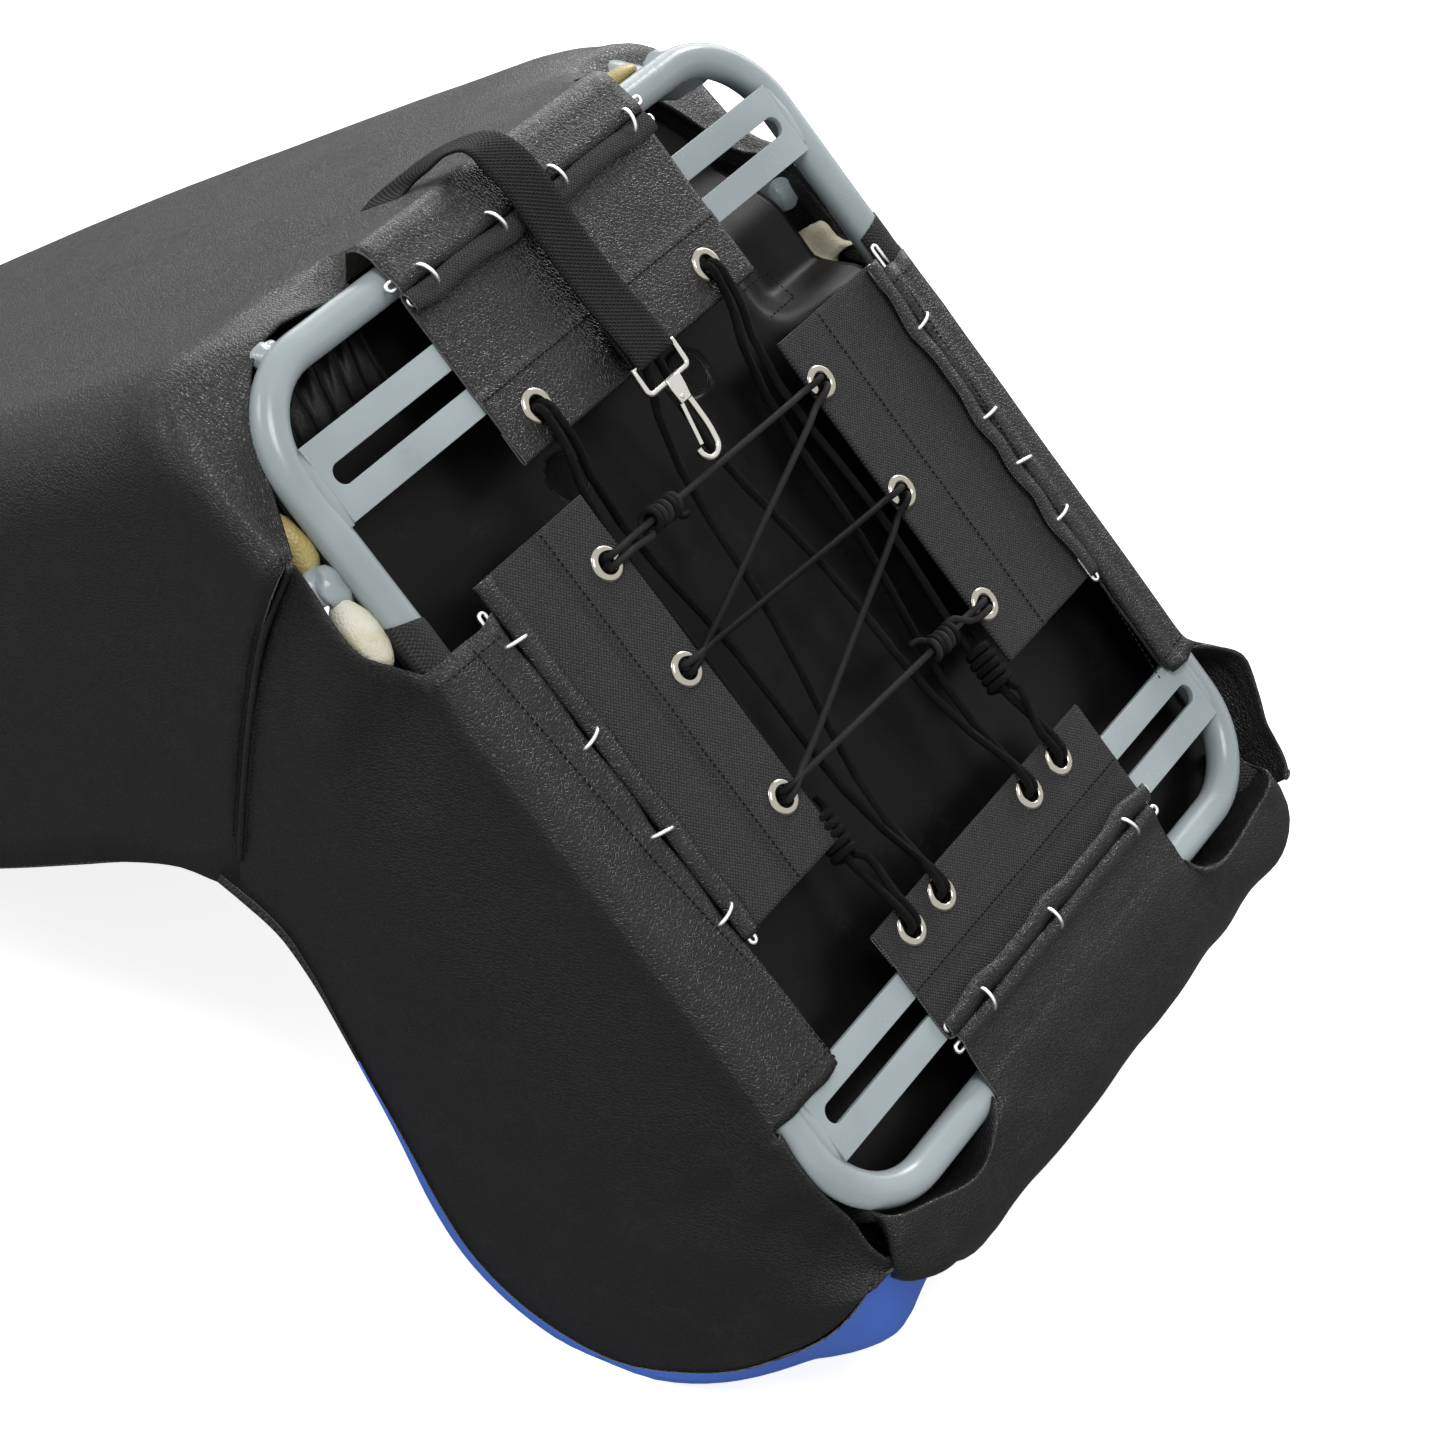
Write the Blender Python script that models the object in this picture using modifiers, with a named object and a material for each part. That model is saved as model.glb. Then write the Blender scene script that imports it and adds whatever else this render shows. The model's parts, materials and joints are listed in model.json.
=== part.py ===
"""Upholstered bucket seat lying face down, built as separate named pieces.

Sizes are in millimetres in the seat's own frame: x runs from the rear of the seat to its front, y from its
left side to its right side, and z points out of the underside, so the sitting side has negative z.
One empty turns this frame into the lying pose, with the seat's front and the head of the back on the floor.
"""
import math

import bmesh
import bpy
from mathutils import Matrix, Vector

MM = 0.001
GAP = 0.3                        # clearance between pieces that touch
LEFT, RIGHT = -1, 1

# Base frame of bent tube, with two slotted cross bars
TUBE_R = 9.5
FRAME_HALF_LENGTH = 250.5        # tube axis
FRAME_HALF_WIDTH = 207.0         # tube axis
FRAME_CORNER_R = 50.0
MEASURED_HALF_LENGTH = 250.5     # frame size at which the points of the covers below were read
MEASURED_HALF_WIDTH = 207.0
LONGER = FRAME_HALF_LENGTH - MEASURED_HALF_LENGTH
WIDER = FRAME_HALF_WIDTH - MEASURED_HALF_WIDTH
BAR_X = FRAME_HALF_LENGTH - 57.5
BAR_WIDTH = 42.4
BAR_THICK = 4.0
BAR_EASE = 2.6                   # taken off the bar's ends where the tube starts to bend
SLOT_WIDTH = 11.3
SLOT_HALF_SPAN = FRAME_HALF_WIDTH - 20.0   # to the centre of the slot's round end
BAR_OPEN = FRAME_HALF_WIDTH - 85.0         # from here to its end a bar's face lies open, clear of the flaps
BAR_BED = 0.2                    # between its open ends a bar's face is set this much lower, under the flaps

# Back frame
HOOP_Y = FRAME_HALF_WIDTH - 11.0
HOOP_Q = 15.3
HOOP_FOOT = 2.0
HOOP_TOP = 780.0
HOOP_CORNER_R = 60.0
STRUT_X = 92.5 - FRAME_HALF_LENGTH

# The back leans from the base by this angle; its rear face starts here
RECLINE = math.radians(13.0)
BACK_X = -FRAME_HALF_LENGTH - 21.5
SIDE_Y = FRAME_HALF_WIDTH + 33.0   # outer face of the side covers
TAPER_START = 400.0              # along the back, where the shoulders begin to narrow
TAPER_END = 870.0
TAPER_TOP = 0.62

# Cover, hems and flaps
COVER = 1.6
SEAT_FOAM_HALF = FRAME_HALF_WIDTH - 58.5
CUSHION_HALF = SEAT_FOAM_HALF + 3.0
CLOTH = 1.2
HEM_LIFT = 0.4                   # underside of the cloth above the bars
FOLD_DEPTH = 13.0
FOLD_HEIGHT = 5.2
WIRE_R = 1.1
WIRE_OFF = 3.6                   # listing wire from the line of the hog rings
WIRE_HEIGHT = 3.0
NOTCH = 8.0
NOTCH_DEPTH = 9.0
RING_WIRE_R = 0.9
RING_HALF_WIDTH = 5.2            # clenched on the wires
RING_HALF_HEIGHT = 3.4
RING_HEIGHT = 4.7
EYELET_R = 9.75
EYELET_HOLE_R = 4.9
EYELET_BARREL = 0.8
LINING_Z = -30.0
LINING_HOLE_R = 12.5
LINING_HOLES = ((-120.0, -54.0), (-120.0, 54.0))
PIPING_R = 2.6
PIPING_ROOM = 3.2                # seam edge of a cover from the piping's centre line



def fit_x(x):
    """Moves a point read from the photo lengthways with the frame."""
    return x + LONGER * max(-1.0, min(1.0, x / MEASURED_HALF_LENGTH))


def fit_y(y):
    """Moves a point read from the photo sideways with the frame."""
    return y + WIDER * max(-1.0, min(1.0, y / MEASURED_HALF_WIDTH))


# Four sides of the base: hog ring line from the tube axis, hem and flap spans, inner edge, rings, eyelets
SIDES = {
    "rear": dict(ring_line=8.5, hem=(-97, 108), flap=(-97, 108), inner=108.5,
                 rings=(-77, -21, 31, 95), eyelet_in=91.0, eyelets=(-69, 6.5, 82)),
    "front": dict(ring_line=36.0, hem=(-100, 106), flap=(-103, 110), inner=101.5,
                  rings=(-70, 0, 84), eyelet_in=89.5, eyelets=(-79, -49, 43, 75)),
    "left": dict(ring_line=36.0, hem=(-97, 160), flap=(-113, 101), inner=125.0,
                 rings=(-81, -23, 34, 84), eyelet_in=112.5, eyelets=(-79, -14, 66)),
    "right": dict(ring_line=22.0, hem=(-105, 160), flap=(-104, 105), inner=116.0,
                  rings=(-62, 0, 32, 68), eyelet_in=108.0, eyelets=(-74, -2, 73)),
}

for side_name, spec in SIDES.items():
    sideways = side_name in ("left", "right")
    fit_along = fit_x if sideways else fit_y
    for key in ("hem", "flap", "rings", "eyelets"):
        spec[key] = tuple(fit_along(value) for value in spec[key])
    for key in ("inner", "eyelet_in") if sideways else ():
        spec[key] = FRAME_HALF_WIDTH - fit_y(MEASURED_HALF_WIDTH - spec[key])

# Lacing
CROSS_R = 1.5
LONG_R = 2.0
TURN = 2.4                       # half the spacing of two strands in one eyelet
CROSS_HEIGHT = 5.6
LONG_HEIGHT = -3.2
KNOT_TURNS = 2

# Strap and snap hook
STRAP_WIDTH = 30.0
STRAP_THICK = 1.5
HOOK_Y = 3.0
EYE_BAR_X = 107.5 - FRAME_HALF_LENGTH
EYE_BAR_Z = 12.4
EYE_BAR_R = 1.8
EYE_HALF_WIDTH = 17.2
EYE_LENGTH = 15.0
HOOK_REACH = 60.0
PRONG_R = 1.9
GATE_R = 1.4
GATE_PIVOT = (25.0, -1.5)
GATE_TIP = (51.5, -7.2)
PIN_R = 0.9

# Back outline, paired along and forward of the rear face: the rear path, and the edge it is joined to
BACK_ROWS = (
    ((192, 0), (192, 244)), ((238, 0), (238, 236)),
    ((290, 0), (290, 233)), ((345, 0), (345, 230)), ((430, 0), (430, 222)), ((520, 0), (520, 203)),
    ((610, 0), (610, 176)), ((700, 0), (700, 146)), ((780, 0), (780, 122)), ((830, 8), (812, 114)),
    ((858, 30), (830, 108)), ((868, 62), (842, 103)), ((858, 88), (848, 99)),
)
SEAM_REAR = (35, 65, 95, 125, 155)   # along the rear face, joined to the points of the piped seam
CORNER_R = 50.0                  # back face into side

# Seat side panel: its top edge and its lower edge, left side, from the piped seam to the front
SIDE_TOP = (
    (-171, 239, -5), (-136, 239, -20), (-111, 233, -10), (-97, 219.8, -14.6), (-50, 219.8, -14.6),
    (0, 219.8, -14.6), (50, 219.8, -14.6), (100, 219.8, -14.6), (160, 219.8, -14.6), (180, 219.8, -7),
    (205, 219.5, -7), (226, 214, -7), (246, 205, -9), (262, 196, -11), (275, 182, -12), (281, 167, -12),
    (283, 152, -12),
)
SIDE_EDGE = (
    (-42, 240, -206), (-23, 240, -201), (15, 240, -208), (57, 240, -222), (90, 240, -231),
    (120, 240, -240), (150, 240, -249), (179, 240, -254), (211, 239, -251), (239, 238, -236),
    (264, 234, -212), (283, 226, -178), (296, 210, -146), (302, 190, -126), (304, 171, -121),
    (304, 152, -117),
)
SIDE_TOP = [(fit_x(x), y + WIDER, z) for x, y, z in SIDE_TOP]
SIDE_EDGE = [(fit_x(x), y + WIDER, z) for x, y, z in SIDE_EDGE]
SEAM = [(fit_x(x), z) for x, z in ((-175, -5), (-153, -59), (-124, -108), (-92, -156), (-53, -210))]
RIM = ((0.9, 1.1), (8, 12), (9.5, 34), (2, 58), (-14, 72))   # facing section: out of the edge, and across


def clear_scene():
    for obj in list(bpy.data.objects):
        bpy.data.objects.remove(obj, do_unlink=True)


def new_collection(name):
    collection = bpy.data.collections.new(name)
    bpy.context.scene.collection.children.link(collection)
    return collection


clear_scene()
PARTS = new_collection("bucket_seat")
CUTTERS = new_collection("cutters")


def new_empty(name, parent, matrix):
    empty = bpy.data.objects.new(name, None)
    PARTS.objects.link(empty)
    empty.parent = parent
    empty.matrix_local = matrix
    return empty


def new_material(name, colour, roughness, metallic=0.0):
    material = bpy.data.materials.new(name)
    material.use_nodes = True
    shader = material.node_tree.nodes["Principled BSDF"]
    shader.inputs["Base Color"].default_value = (*colour, 1.0)
    shader.inputs["Roughness"].default_value = roughness
    shader.inputs["Metallic"].default_value = metallic
    material.diffuse_color = (*colour, 1.0)
    return material


PALETTE = {
    "paint": ((0.31, 0.38, 0.39), 0.4, 0.0),
    "vinyl": ((0.028, 0.028, 0.027), 0.5, 0.0),
    "woven": ((0.045, 0.045, 0.045), 0.8, 0.0),
    "blue": ((0.023, 0.065, 0.35), 0.45, 0.0),
    "foam": ((0.72, 0.68, 0.52), 0.95, 0.0),
    "nickel": ((0.75, 0.73, 0.66), 0.25, 1.0),
    "zinc": ((0.8, 0.8, 0.8), 0.3, 1.0),
    "cord": ((0.012, 0.012, 0.012), 0.8, 0.0),
}


def add_part(name, mesh, look, parent, smooth=True):
    obj = bpy.data.objects.new(name, mesh)
    obj.parent = parent
    colour, roughness, metallic = PALETTE[look]
    mesh.materials.clear()
    mesh.materials.append(new_material(name, colour, roughness, metallic))
    if smooth:
        mesh.shade_smooth()
        mesh.set_sharp_from_angle(angle=math.radians(35))
    PARTS.objects.link(obj)
    return obj


def scaled(point):
    return Vector(point) * MM


def mesh_from(bm, name):
    bmesh.ops.recalc_face_normals(bm, faces=bm.faces)
    mesh = bpy.data.meshes.new(name)
    bm.to_mesh(mesh)
    bm.free()
    return mesh


def add_prism(bm, profile, place, start, end):
    """Extrudes a closed profile; place turns (a, b, t) into a point, with t running from start to end."""
    first = [bm.verts.new(scaled(place(a, b, start))) for a, b in profile]
    face = bm.faces.new(first)
    made = bmesh.ops.extrude_face_region(bm, geom=[face], use_keep_orig=True)["geom"]
    moved = [v for v in made if isinstance(v, bmesh.types.BMVert)]
    from_start = {v: place(a, b, end) for v, (a, b) in zip(first, profile)}
    for vert in moved:
        source = min(first, key=lambda v: (v.co - vert.co).length)
        vert.co = scaled(from_start[source])


def prism_mesh(name, profile, place, start, end):
    bm = bmesh.new()
    add_prism(bm, profile, place, start, end)
    return mesh_from(bm, name)


def tube_mesh(name, paths, radius, cyclic=False, resolution=2):
    """Round rods along the paths, as one mesh of separate closed solids."""
    curve = bpy.data.curves.new(name, "CURVE")
    curve.dimensions = "3D"
    curve.bevel_depth = radius * MM
    curve.bevel_resolution = resolution
    curve.use_fill_caps = True
    for path in paths:
        spline = curve.splines.new("POLY")
        spline.points.add(len(path) - 1)
        for slot, point in zip(spline.points, path):
            slot.co = (*scaled(point), 1.0)
        spline.use_cyclic_u = cyclic
    holder = bpy.data.objects.new(name, curve)
    CUTTERS.objects.link(holder)
    bpy.context.view_layer.update()
    evaluated = holder.evaluated_get(bpy.context.evaluated_depsgraph_get())
    raw = bpy.data.meshes.new_from_object(evaluated)
    bpy.data.objects.remove(holder, do_unlink=True)
    bm = bmesh.new()
    bm.from_mesh(raw)
    bmesh.ops.remove_doubles(bm, verts=bm.verts, dist=0.00001)
    return mesh_from(bm, name)


def sheet(name, rows, thickness, look, parent):
    """A cloth panel: rows of points on its outer face, thickened away from that face."""
    bm = bmesh.new()
    grid = [[bm.verts.new(scaled(p)) for p in row] for row in rows]
    for upper, lower in zip(grid, grid[1:]):
        for a, b, c, d in zip(upper, upper[1:], lower[1:], lower):
            bm.faces.new((a, b, c, d))
    mesh = bpy.data.meshes.new(name)
    bm.to_mesh(mesh)
    bm.free()
    obj = add_part(name, mesh, look, parent)
    thick = obj.modifiers.new("thickness", "SOLIDIFY")
    thick.thickness = thickness * MM
    thick.offset = -1.0
    thick.use_even_offset = True
    return obj


def combine(obj, mesh, operation):
    """Boolean of the object with the closed solids of the mesh, which stays hidden."""
    other = bpy.data.objects.new(obj.name + "_" + operation.lower(), mesh)
    other.parent = obj.parent
    other.hide_render = True
    other.display_type = "WIRE"
    CUTTERS.objects.link(other)
    boolean = obj.modifiers.new(operation.lower(), "BOOLEAN")
    boolean.operation = operation
    boolean.solver = "EXACT"
    boolean.object = other


def cut(obj, mesh):
    combine(obj, mesh, "DIFFERENCE")


def join(obj, mesh):
    combine(obj, mesh, "UNION")


def arc(centre, radius, start, end, steps):
    """Points on an arc, angles in degrees."""
    angles = [math.radians(start + (end - start) * i / steps) for i in range(steps + 1)]
    return [(centre[0] + radius * math.cos(t), centre[1] + radius * math.sin(t)) for t in angles]


def mix(a, b, t):
    return tuple(p + (q - p) * t for p, q in zip(a, b))


def ease(t):
    t = max(0.0, min(1.0, t))
    return t * t * (3 - 2 * t)


def back_point(along, forward, across):
    """A point of the back: along it from the base, forward of its rear face, and across, with the taper."""
    taper = 1 - (1 - TAPER_TOP) * ease((along - TAPER_START) / (TAPER_END - TAPER_START))
    x = BACK_X - along * math.sin(RECLINE) + forward * math.cos(RECLINE)
    z = -along * math.cos(RECLINE) - forward * math.sin(RECLINE)
    return (x, across * taper, z)


def back_coords(x, z):
    """Along the back and forward of its rear face, of a point of the side view."""
    dx = x - BACK_X
    return (-dx * math.sin(RECLINE) - z * math.cos(RECLINE), dx * math.cos(RECLINE) - z * math.sin(RECLINE))


def wing_growth(along):
    """How much further forward a wing reaches on a longer frame."""
    return 0.8 * LONGER * (1 - ease((along - 190.0) / 400.0))


def side_place(side_name):
    """Turns (inward from the tube axis, z, along the side) into a seat point."""
    def place(inward, z, along):
        if side_name == "rear":
            return (-FRAME_HALF_LENGTH + inward, along, z)
        if side_name == "front":
            return (FRAME_HALF_LENGTH - inward, along, z)
        if side_name == "left":
            return (along, -FRAME_HALF_WIDTH + inward, z)
        return (along, FRAME_HALF_WIDTH - inward, z)
    return place


# The seat's own frame, laid on the floor once every piece is made
LYING = new_empty("lying_pose", None, Matrix.Identity(4))


# Base frame
def frame_path():
    run_x = FRAME_HALF_LENGTH - FRAME_CORNER_R
    run_y = FRAME_HALF_WIDTH - FRAME_CORNER_R
    corners = ((run_x, run_y, 0), (-run_x, run_y, 90), (-run_x, -run_y, 180), (run_x, -run_y, 270))
    points = []
    for x, y, start in corners:
        points += arc((x, y), FRAME_CORNER_R, start, start + 90, 6)
    return [(x, y, -TUBE_R) for x, y in points]


add_part("base_frame_tube", tube_mesh("base_frame_tube", [frame_path()], TUBE_R, cyclic=True, resolution=4),
         "paint", LYING)

CHORD = math.sqrt(TUBE_R ** 2 - (TUBE_R - BAR_THICK) ** 2)
BAR_END = FRAME_HALF_WIDTH - CHORD - GAP


def weld_profile():
    """Fillet between the bar's end and the crest of the tube: inward from the tube axis, and z."""
    room = TUBE_R + GAP
    feet = [CHORD - i * 2.2 for i in range(4)]
    under = [(foot, math.sqrt(room ** 2 - foot ** 2) - TUBE_R) for foot in feet]
    return [(CHORD + 1.2, 0.6), (CHORD + 1.2, -BAR_THICK + 0.5)] + under + [(feet[-1] - 0.4, 0.7)]


def bar_welds(name, x):
    inside = math.copysign(BAR_WIDTH / 2 - 0.5, -x)
    bend = math.copysign(FRAME_HALF_LENGTH - FRAME_CORNER_R, x) - x
    bm = bmesh.new()
    for side in (LEFT, RIGHT):
        def place(a, b, t, side=side):
            return (x + t, side * (FRAME_HALF_WIDTH - a), b)
        add_prism(bm, weld_profile(), place, inside, bend)
    return mesh_from(bm, name)


def add_cross_bar(name, x):
    inside = math.copysign(BAR_WIDTH / 2, -x)
    bend = math.copysign(FRAME_HALF_LENGTH - FRAME_CORNER_R, x) - x
    half = [(inside, BAR_END), (bend, BAR_END), (-inside, BAR_END - BAR_EASE)]
    outline = half + [(a, -b) for a, b in reversed(half)]
    def place(a, b, t):
        return (x + a, b, t)
    bar = add_part(name, prism_mesh(name, outline, place, -BAR_THICK, 0.0), "paint", LYING)
    half = SLOT_WIDTH / 2
    slot = arc((0, SLOT_HALF_SPAN), half, 0, 180, 8) + arc((0, -SLOT_HALF_SPAN), half, 180, 360, 8)
    cut(bar, prism_mesh(name + "_slot", slot, place, -2 * BAR_THICK, BAR_THICK))
    bed = [(-BAR_WIDTH, -BAR_OPEN), (BAR_WIDTH, -BAR_OPEN), (BAR_WIDTH, BAR_OPEN), (-BAR_WIDTH, BAR_OPEN)]
    cut(bar, prism_mesh(name + "_bed", bed, place, -BAR_BED, BAR_THICK))
    join(bar, bar_welds(name + "_welds", x))


add_cross_bar("rear_cross_bar", -BAR_X)
add_cross_bar("front_cross_bar", BAR_X)


# Back frame
def hoop_path():
    turn_left = arc((HOOP_TOP - HOOP_CORNER_R, -HOOP_Y + HOOP_CORNER_R), HOOP_CORNER_R, -90, 0, 5)
    turn_right = arc((HOOP_TOP - HOOP_CORNER_R, HOOP_Y - HOOP_CORNER_R), HOOP_CORNER_R, 0, 90, 5)
    rise = [HOOP_FOOT + (HOOP_TOP - HOOP_CORNER_R - HOOP_FOOT) * i / 12 for i in range(12)]
    left = [(along, -HOOP_Y) for along in rise]
    right = [(along, HOOP_Y) for along in reversed(rise)]
    return [back_point(along, HOOP_Q, across) for along, across in left + turn_left + turn_right + right]


def foot_welds(name, feet):
    """Weld caps that close the upper ends of tubes."""
    bm = bmesh.new()
    for foot in feet:
        place = Matrix.Translation(scaled((foot[0], foot[1], foot[2] + 1.0)))
        bmesh.ops.create_cone(bm, cap_ends=True, segments=10, radius1=0.9 * TUBE_R * MM,
                              radius2=0.5 * TUBE_R * MM, depth=6.0 * MM, matrix=place)
    return mesh_from(bm, name)


HOOP = add_part("back_hoop_tube", tube_mesh("back_hoop_tube", [hoop_path()], TUBE_R), "paint", LYING)
HOOP_FEET = [back_point(HOOP_FOOT, HOOP_Q, side * HOOP_Y) for side in (LEFT, RIGHT)]
join(HOOP, foot_welds("hoop_foot_welds", HOOP_FEET))

STRUT_Y = FRAME_HALF_WIDTH + 2 * TUBE_R + GAP


def strut_path(side):
    foot = (STRUT_X, side * STRUT_Y, -6.0)
    leg = back_point(305.0, HOOP_Q, side * HOOP_Y)
    head = (leg[0] + 15.8, leg[1] + side * 12.0, leg[2])
    return [foot, (STRUT_X - 2, side * STRUT_Y, -60.0), (STRUT_X - 16, side * STRUT_Y, -115.0),
            (STRUT_X - 48, side * STRUT_Y, -175.0), (STRUT_X - 105, side * (STRUT_Y - 6), -245.0), head]


for side, word in ((LEFT, "left"), (RIGHT, "right")):
    name = word + "_side_strut"
    strut = add_part(name, tube_mesh(name, [strut_path(side)], TUBE_R, resolution=3), "paint", LYING)
    join(strut, foot_welds(name + "_weld", [strut_path(side)[0]]))


# Foam
def add_seat_foam():
    front = [(284, LINING_Z - 1.4), (294, -50), (296, -80), (289, -99), (271, -107), (60, -103), (-100, -97)]
    rear = [(BACK_X + 75, -95), (BACK_X + 85, -52), (BACK_X + 85, LINING_Z - 1.4)]
    profile = [(fit_x(x), z) for x, z in front] + rear
    half = SEAT_FOAM_HALF
    mesh = prism_mesh("seat_foam", profile, lambda a, b, t: (a, t, b), -half, half)
    add_part("seat_foam", mesh, "foam", LYING)


add_seat_foam()


def bolster_profile():
    upper = [(fit_x(x), z) for x, z in ((-137, -24), (-110, -18), (215, -24), (240, -60))]
    lower = [(x, z + 6) for x, y, z in reversed(SIDE_EDGE[1:10])]
    rear = [(fit_x(x), z) for x, z in ((-60, -186), (-104, -120), (-132, -72))]
    return upper + lower + rear


def add_bolster_foam(side, word):
    """Outer slab of the bolster against the side cover, with a deeper inner slab below the frame."""
    name = word + "_bolster_foam"
    def place(a, b, t):
        return (a, side * t, b)
    inner, outer = FRAME_HALF_WIDTH - 21.0, FRAME_HALF_WIDTH + 3.0
    foam = add_part(name, prism_mesh(name, bolster_profile(), place, inner, outer), "foam", LYING)
    notch = [(-400, 60), (400, 60), (400, LINING_Z - 1.4), (-400, LINING_Z - 1.4)]
    cut(foam, prism_mesh(name + "_notch", notch, place, 100, 300))
    root, step, rim = FRAME_HALF_WIDTH - 2.0, FRAME_HALF_WIDTH + 10.5, FRAME_HALF_WIDTH + 23.5
    tongue = [(root, -34), (step, -34), (step, -16), (rim, -16), (rim, -70), (root, -70)]
    ends = (STRUT_X + 22.0, fit_x(-113.0))
    join(foam, prism_mesh(name + "_tongue", tongue, lambda a, b, t: (t, side * a, b), *ends))
    cheek = [(-40, -165), (0, -150), (150, -150), (180, -165), (192, -214), (180, -236), (150, -236),
             (57, -209), (-10, -192)]
    cheek = [(fit_x(x), z) for x, z in cheek]
    join(foam, prism_mesh(name + "_cheek", cheek, place, root, SIDE_Y - COVER - 0.6))


def add_back_foam():
    half = HOOP_Y - TUBE_R - 6.0
    top = HOOP_TOP - TUBE_R - 2.0
    steps = [34, 160, 290, 400, 460, 520, 580, 640, top - 62]
    head = [(top, 64 - half), (top, half - 64)]
    rim = [(s, -half) for s in steps] + head + [(s, half) for s in reversed(steps)]
    mesh = prism_mesh("backrest_foam", rim, lambda a, b, t: back_point(a, t, b), COVER + 0.5, 93.0)
    add_part("backrest_foam", mesh, "foam", LYING)


add_back_foam()


def loft_mesh(name, sections):
    """A closed solid through a row of sections with the same number of points."""
    bm = bmesh.new()
    rings = [[bm.verts.new(scaled(p)) for p in section] for section in sections]
    count = len(rings[0])
    for ring, after in zip(rings, rings[1:]):
        for i in range(count):
            j = (i + 1) % count
            bm.faces.new((ring[i], ring[j], after[j], after[i]))
    bm.faces.new(rings[0])
    bm.faces.new(rings[-1])
    return mesh_from(bm, name)


# Wing foam: along the back, and how far forward it reaches
WING_FOAM = ((126, 104), (158, 236), (195, 231), (290, 222), (345, 218), (400, 213), (460, 204), (520, 190),
             (580, 173), (640, 154), (690, 136), (740, 118))
WING_ROOT = (335, 400, 460, 520, 580, 640)


def add_wing_foam(side, word):
    """Foam of a wing, with a root that reaches back to the hoop tube."""
    name = word + "_wing_foam"
    inner = HOOP_Y - TUBE_R - 5.3
    def section(along, low, high, outer):
        corners = ((low, inner), (high, inner), (high, outer), (low, outer))
        return [back_point(along, q, side * y) for q, y in corners]
    sections = []
    for along, high in WING_FOAM:
        growth = wing_growth(along) if along > WING_FOAM[0][0] else 0.0
        sections.append(section(along, 97.5, high + growth, HOOP_Y + 17))
    wing = loft_mesh(name, sections)
    foam = add_part(name, wing, "foam", LYING)
    low = HOOP_Q + TUBE_R + 0.8
    join(foam, loft_mesh(name + "_root", [section(along, low, 104, HOOP_Y + 8) for along in WING_ROOT]))


for side, word in ((LEFT, "left"), (RIGHT, "right")):
    add_bolster_foam(side, word)
    add_wing_foam(side, word)


# Lining under the cushion, with its two round holes
def add_lining():
    half_x = FRAME_HALF_LENGTH - 12.0
    half_y = FRAME_HALF_WIDTH - 13.0
    outline = [(-half_x, -half_y), (half_x, -half_y), (half_x, half_y), (-half_x, half_y)]
    def place(a, b, t):
        return (a, b, t)
    mesh = prism_mesh("base_lining", outline, place, LINING_Z - 1, LINING_Z)
    lining = add_part("base_lining", mesh, "vinyl", LYING)
    bm = bmesh.new()
    for x, y in LINING_HOLES:
        add_prism(bm, arc((x, y), LINING_HOLE_R, 0, 345, 23), place, LINING_Z - 5, LINING_Z + 5)
    cut(lining, mesh_from(bm, "lining_holes"))


add_lining()


# Covers
def back_row(rear, edge):
    """One line of the back cover, from its left edge round the back to its right edge."""
    reach = math.hypot(edge[0] - rear[0], edge[1] - rear[1])
    along = ((edge[0] - rear[0]) / reach, (edge[1] - rear[1]) / reach)
    corner = min(CORNER_R, reach * 0.45)
    half = [(0.0, y) for y in (0.0, 70.0, 135.0)]
    half += [(corner * (1 - math.cos(t)), SIDE_Y - corner + corner * math.sin(t))
             for t in (math.radians(a) for a in (0, 22.5, 45, 67.5, 90))]
    half += [(corner + (reach - corner) * f, SIDE_Y) for f in (0.33, 0.67, 1.0)]
    def point(depth, across):
        return back_point(rear[0] + along[0] * depth, rear[1] + along[1] * depth, across)
    left = [point(depth, -across) for depth, across in reversed(half)]
    right = [point(depth, across) for depth, across in half[1:]]
    return left + right


def edge_normals(points):
    """Unit normals of an (x, z) edge, to the left of its run."""
    normals = []
    for i in range(len(points)):
        before = points[max(i - 1, 0)]
        after = points[min(i + 1, len(points) - 1)]
        dx, dz = after[0] - before[0], after[1] - before[1]
        length = math.hypot(dx, dz)
        normals.append((dz / length, -dx / length))
    return normals


def seam_edge(offset):
    """The piped seam moved sideways, forward for a positive offset."""
    return [(x - nx * offset, z - nz * offset) for (x, z), (nx, nz) in zip(SEAM, edge_normals(SEAM))]


def back_rows():
    rows = [((10, 0), (4, 70))]
    for along, (x, z) in zip(SEAM_REAR, seam_edge(-PIPING_ROOM)):
        rows.append(((along, 0), back_coords(x, z)))
    for rear, edge in BACK_ROWS:
        rows.append((rear, (edge[0], edge[1] + wing_growth(edge[0]))))
    return rows


sheet("back_cover", [back_row(rear, edge) for rear, edge in back_rows()], COVER, "vinyl", LYING)


def side_column(top, edge, side):
    """One line of the seat side cover, from its top edge down to the facing."""
    points = []
    for step in (0.0, 0.12, 0.3, 0.55, 0.8, 1.0):
        x, y, z = mix(top, edge, step)
        y = top[1] + (edge[1] - top[1]) * ease(step * 1.9)
        points.append((x, side * y, z))
    return points


def seam_column(side):
    edge = seam_edge(PIPING_ROOM)
    edge.insert(1, mix(edge[0], edge[1], 0.5))
    return [(x, side * SIDE_Y, z) for x, z in edge]


def side_columns(side):
    columns = [seam_column(side)]
    columns += [side_column(top, edge, side) for top, edge in zip(SIDE_TOP[1:], SIDE_EDGE[1:])]
    return columns


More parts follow.
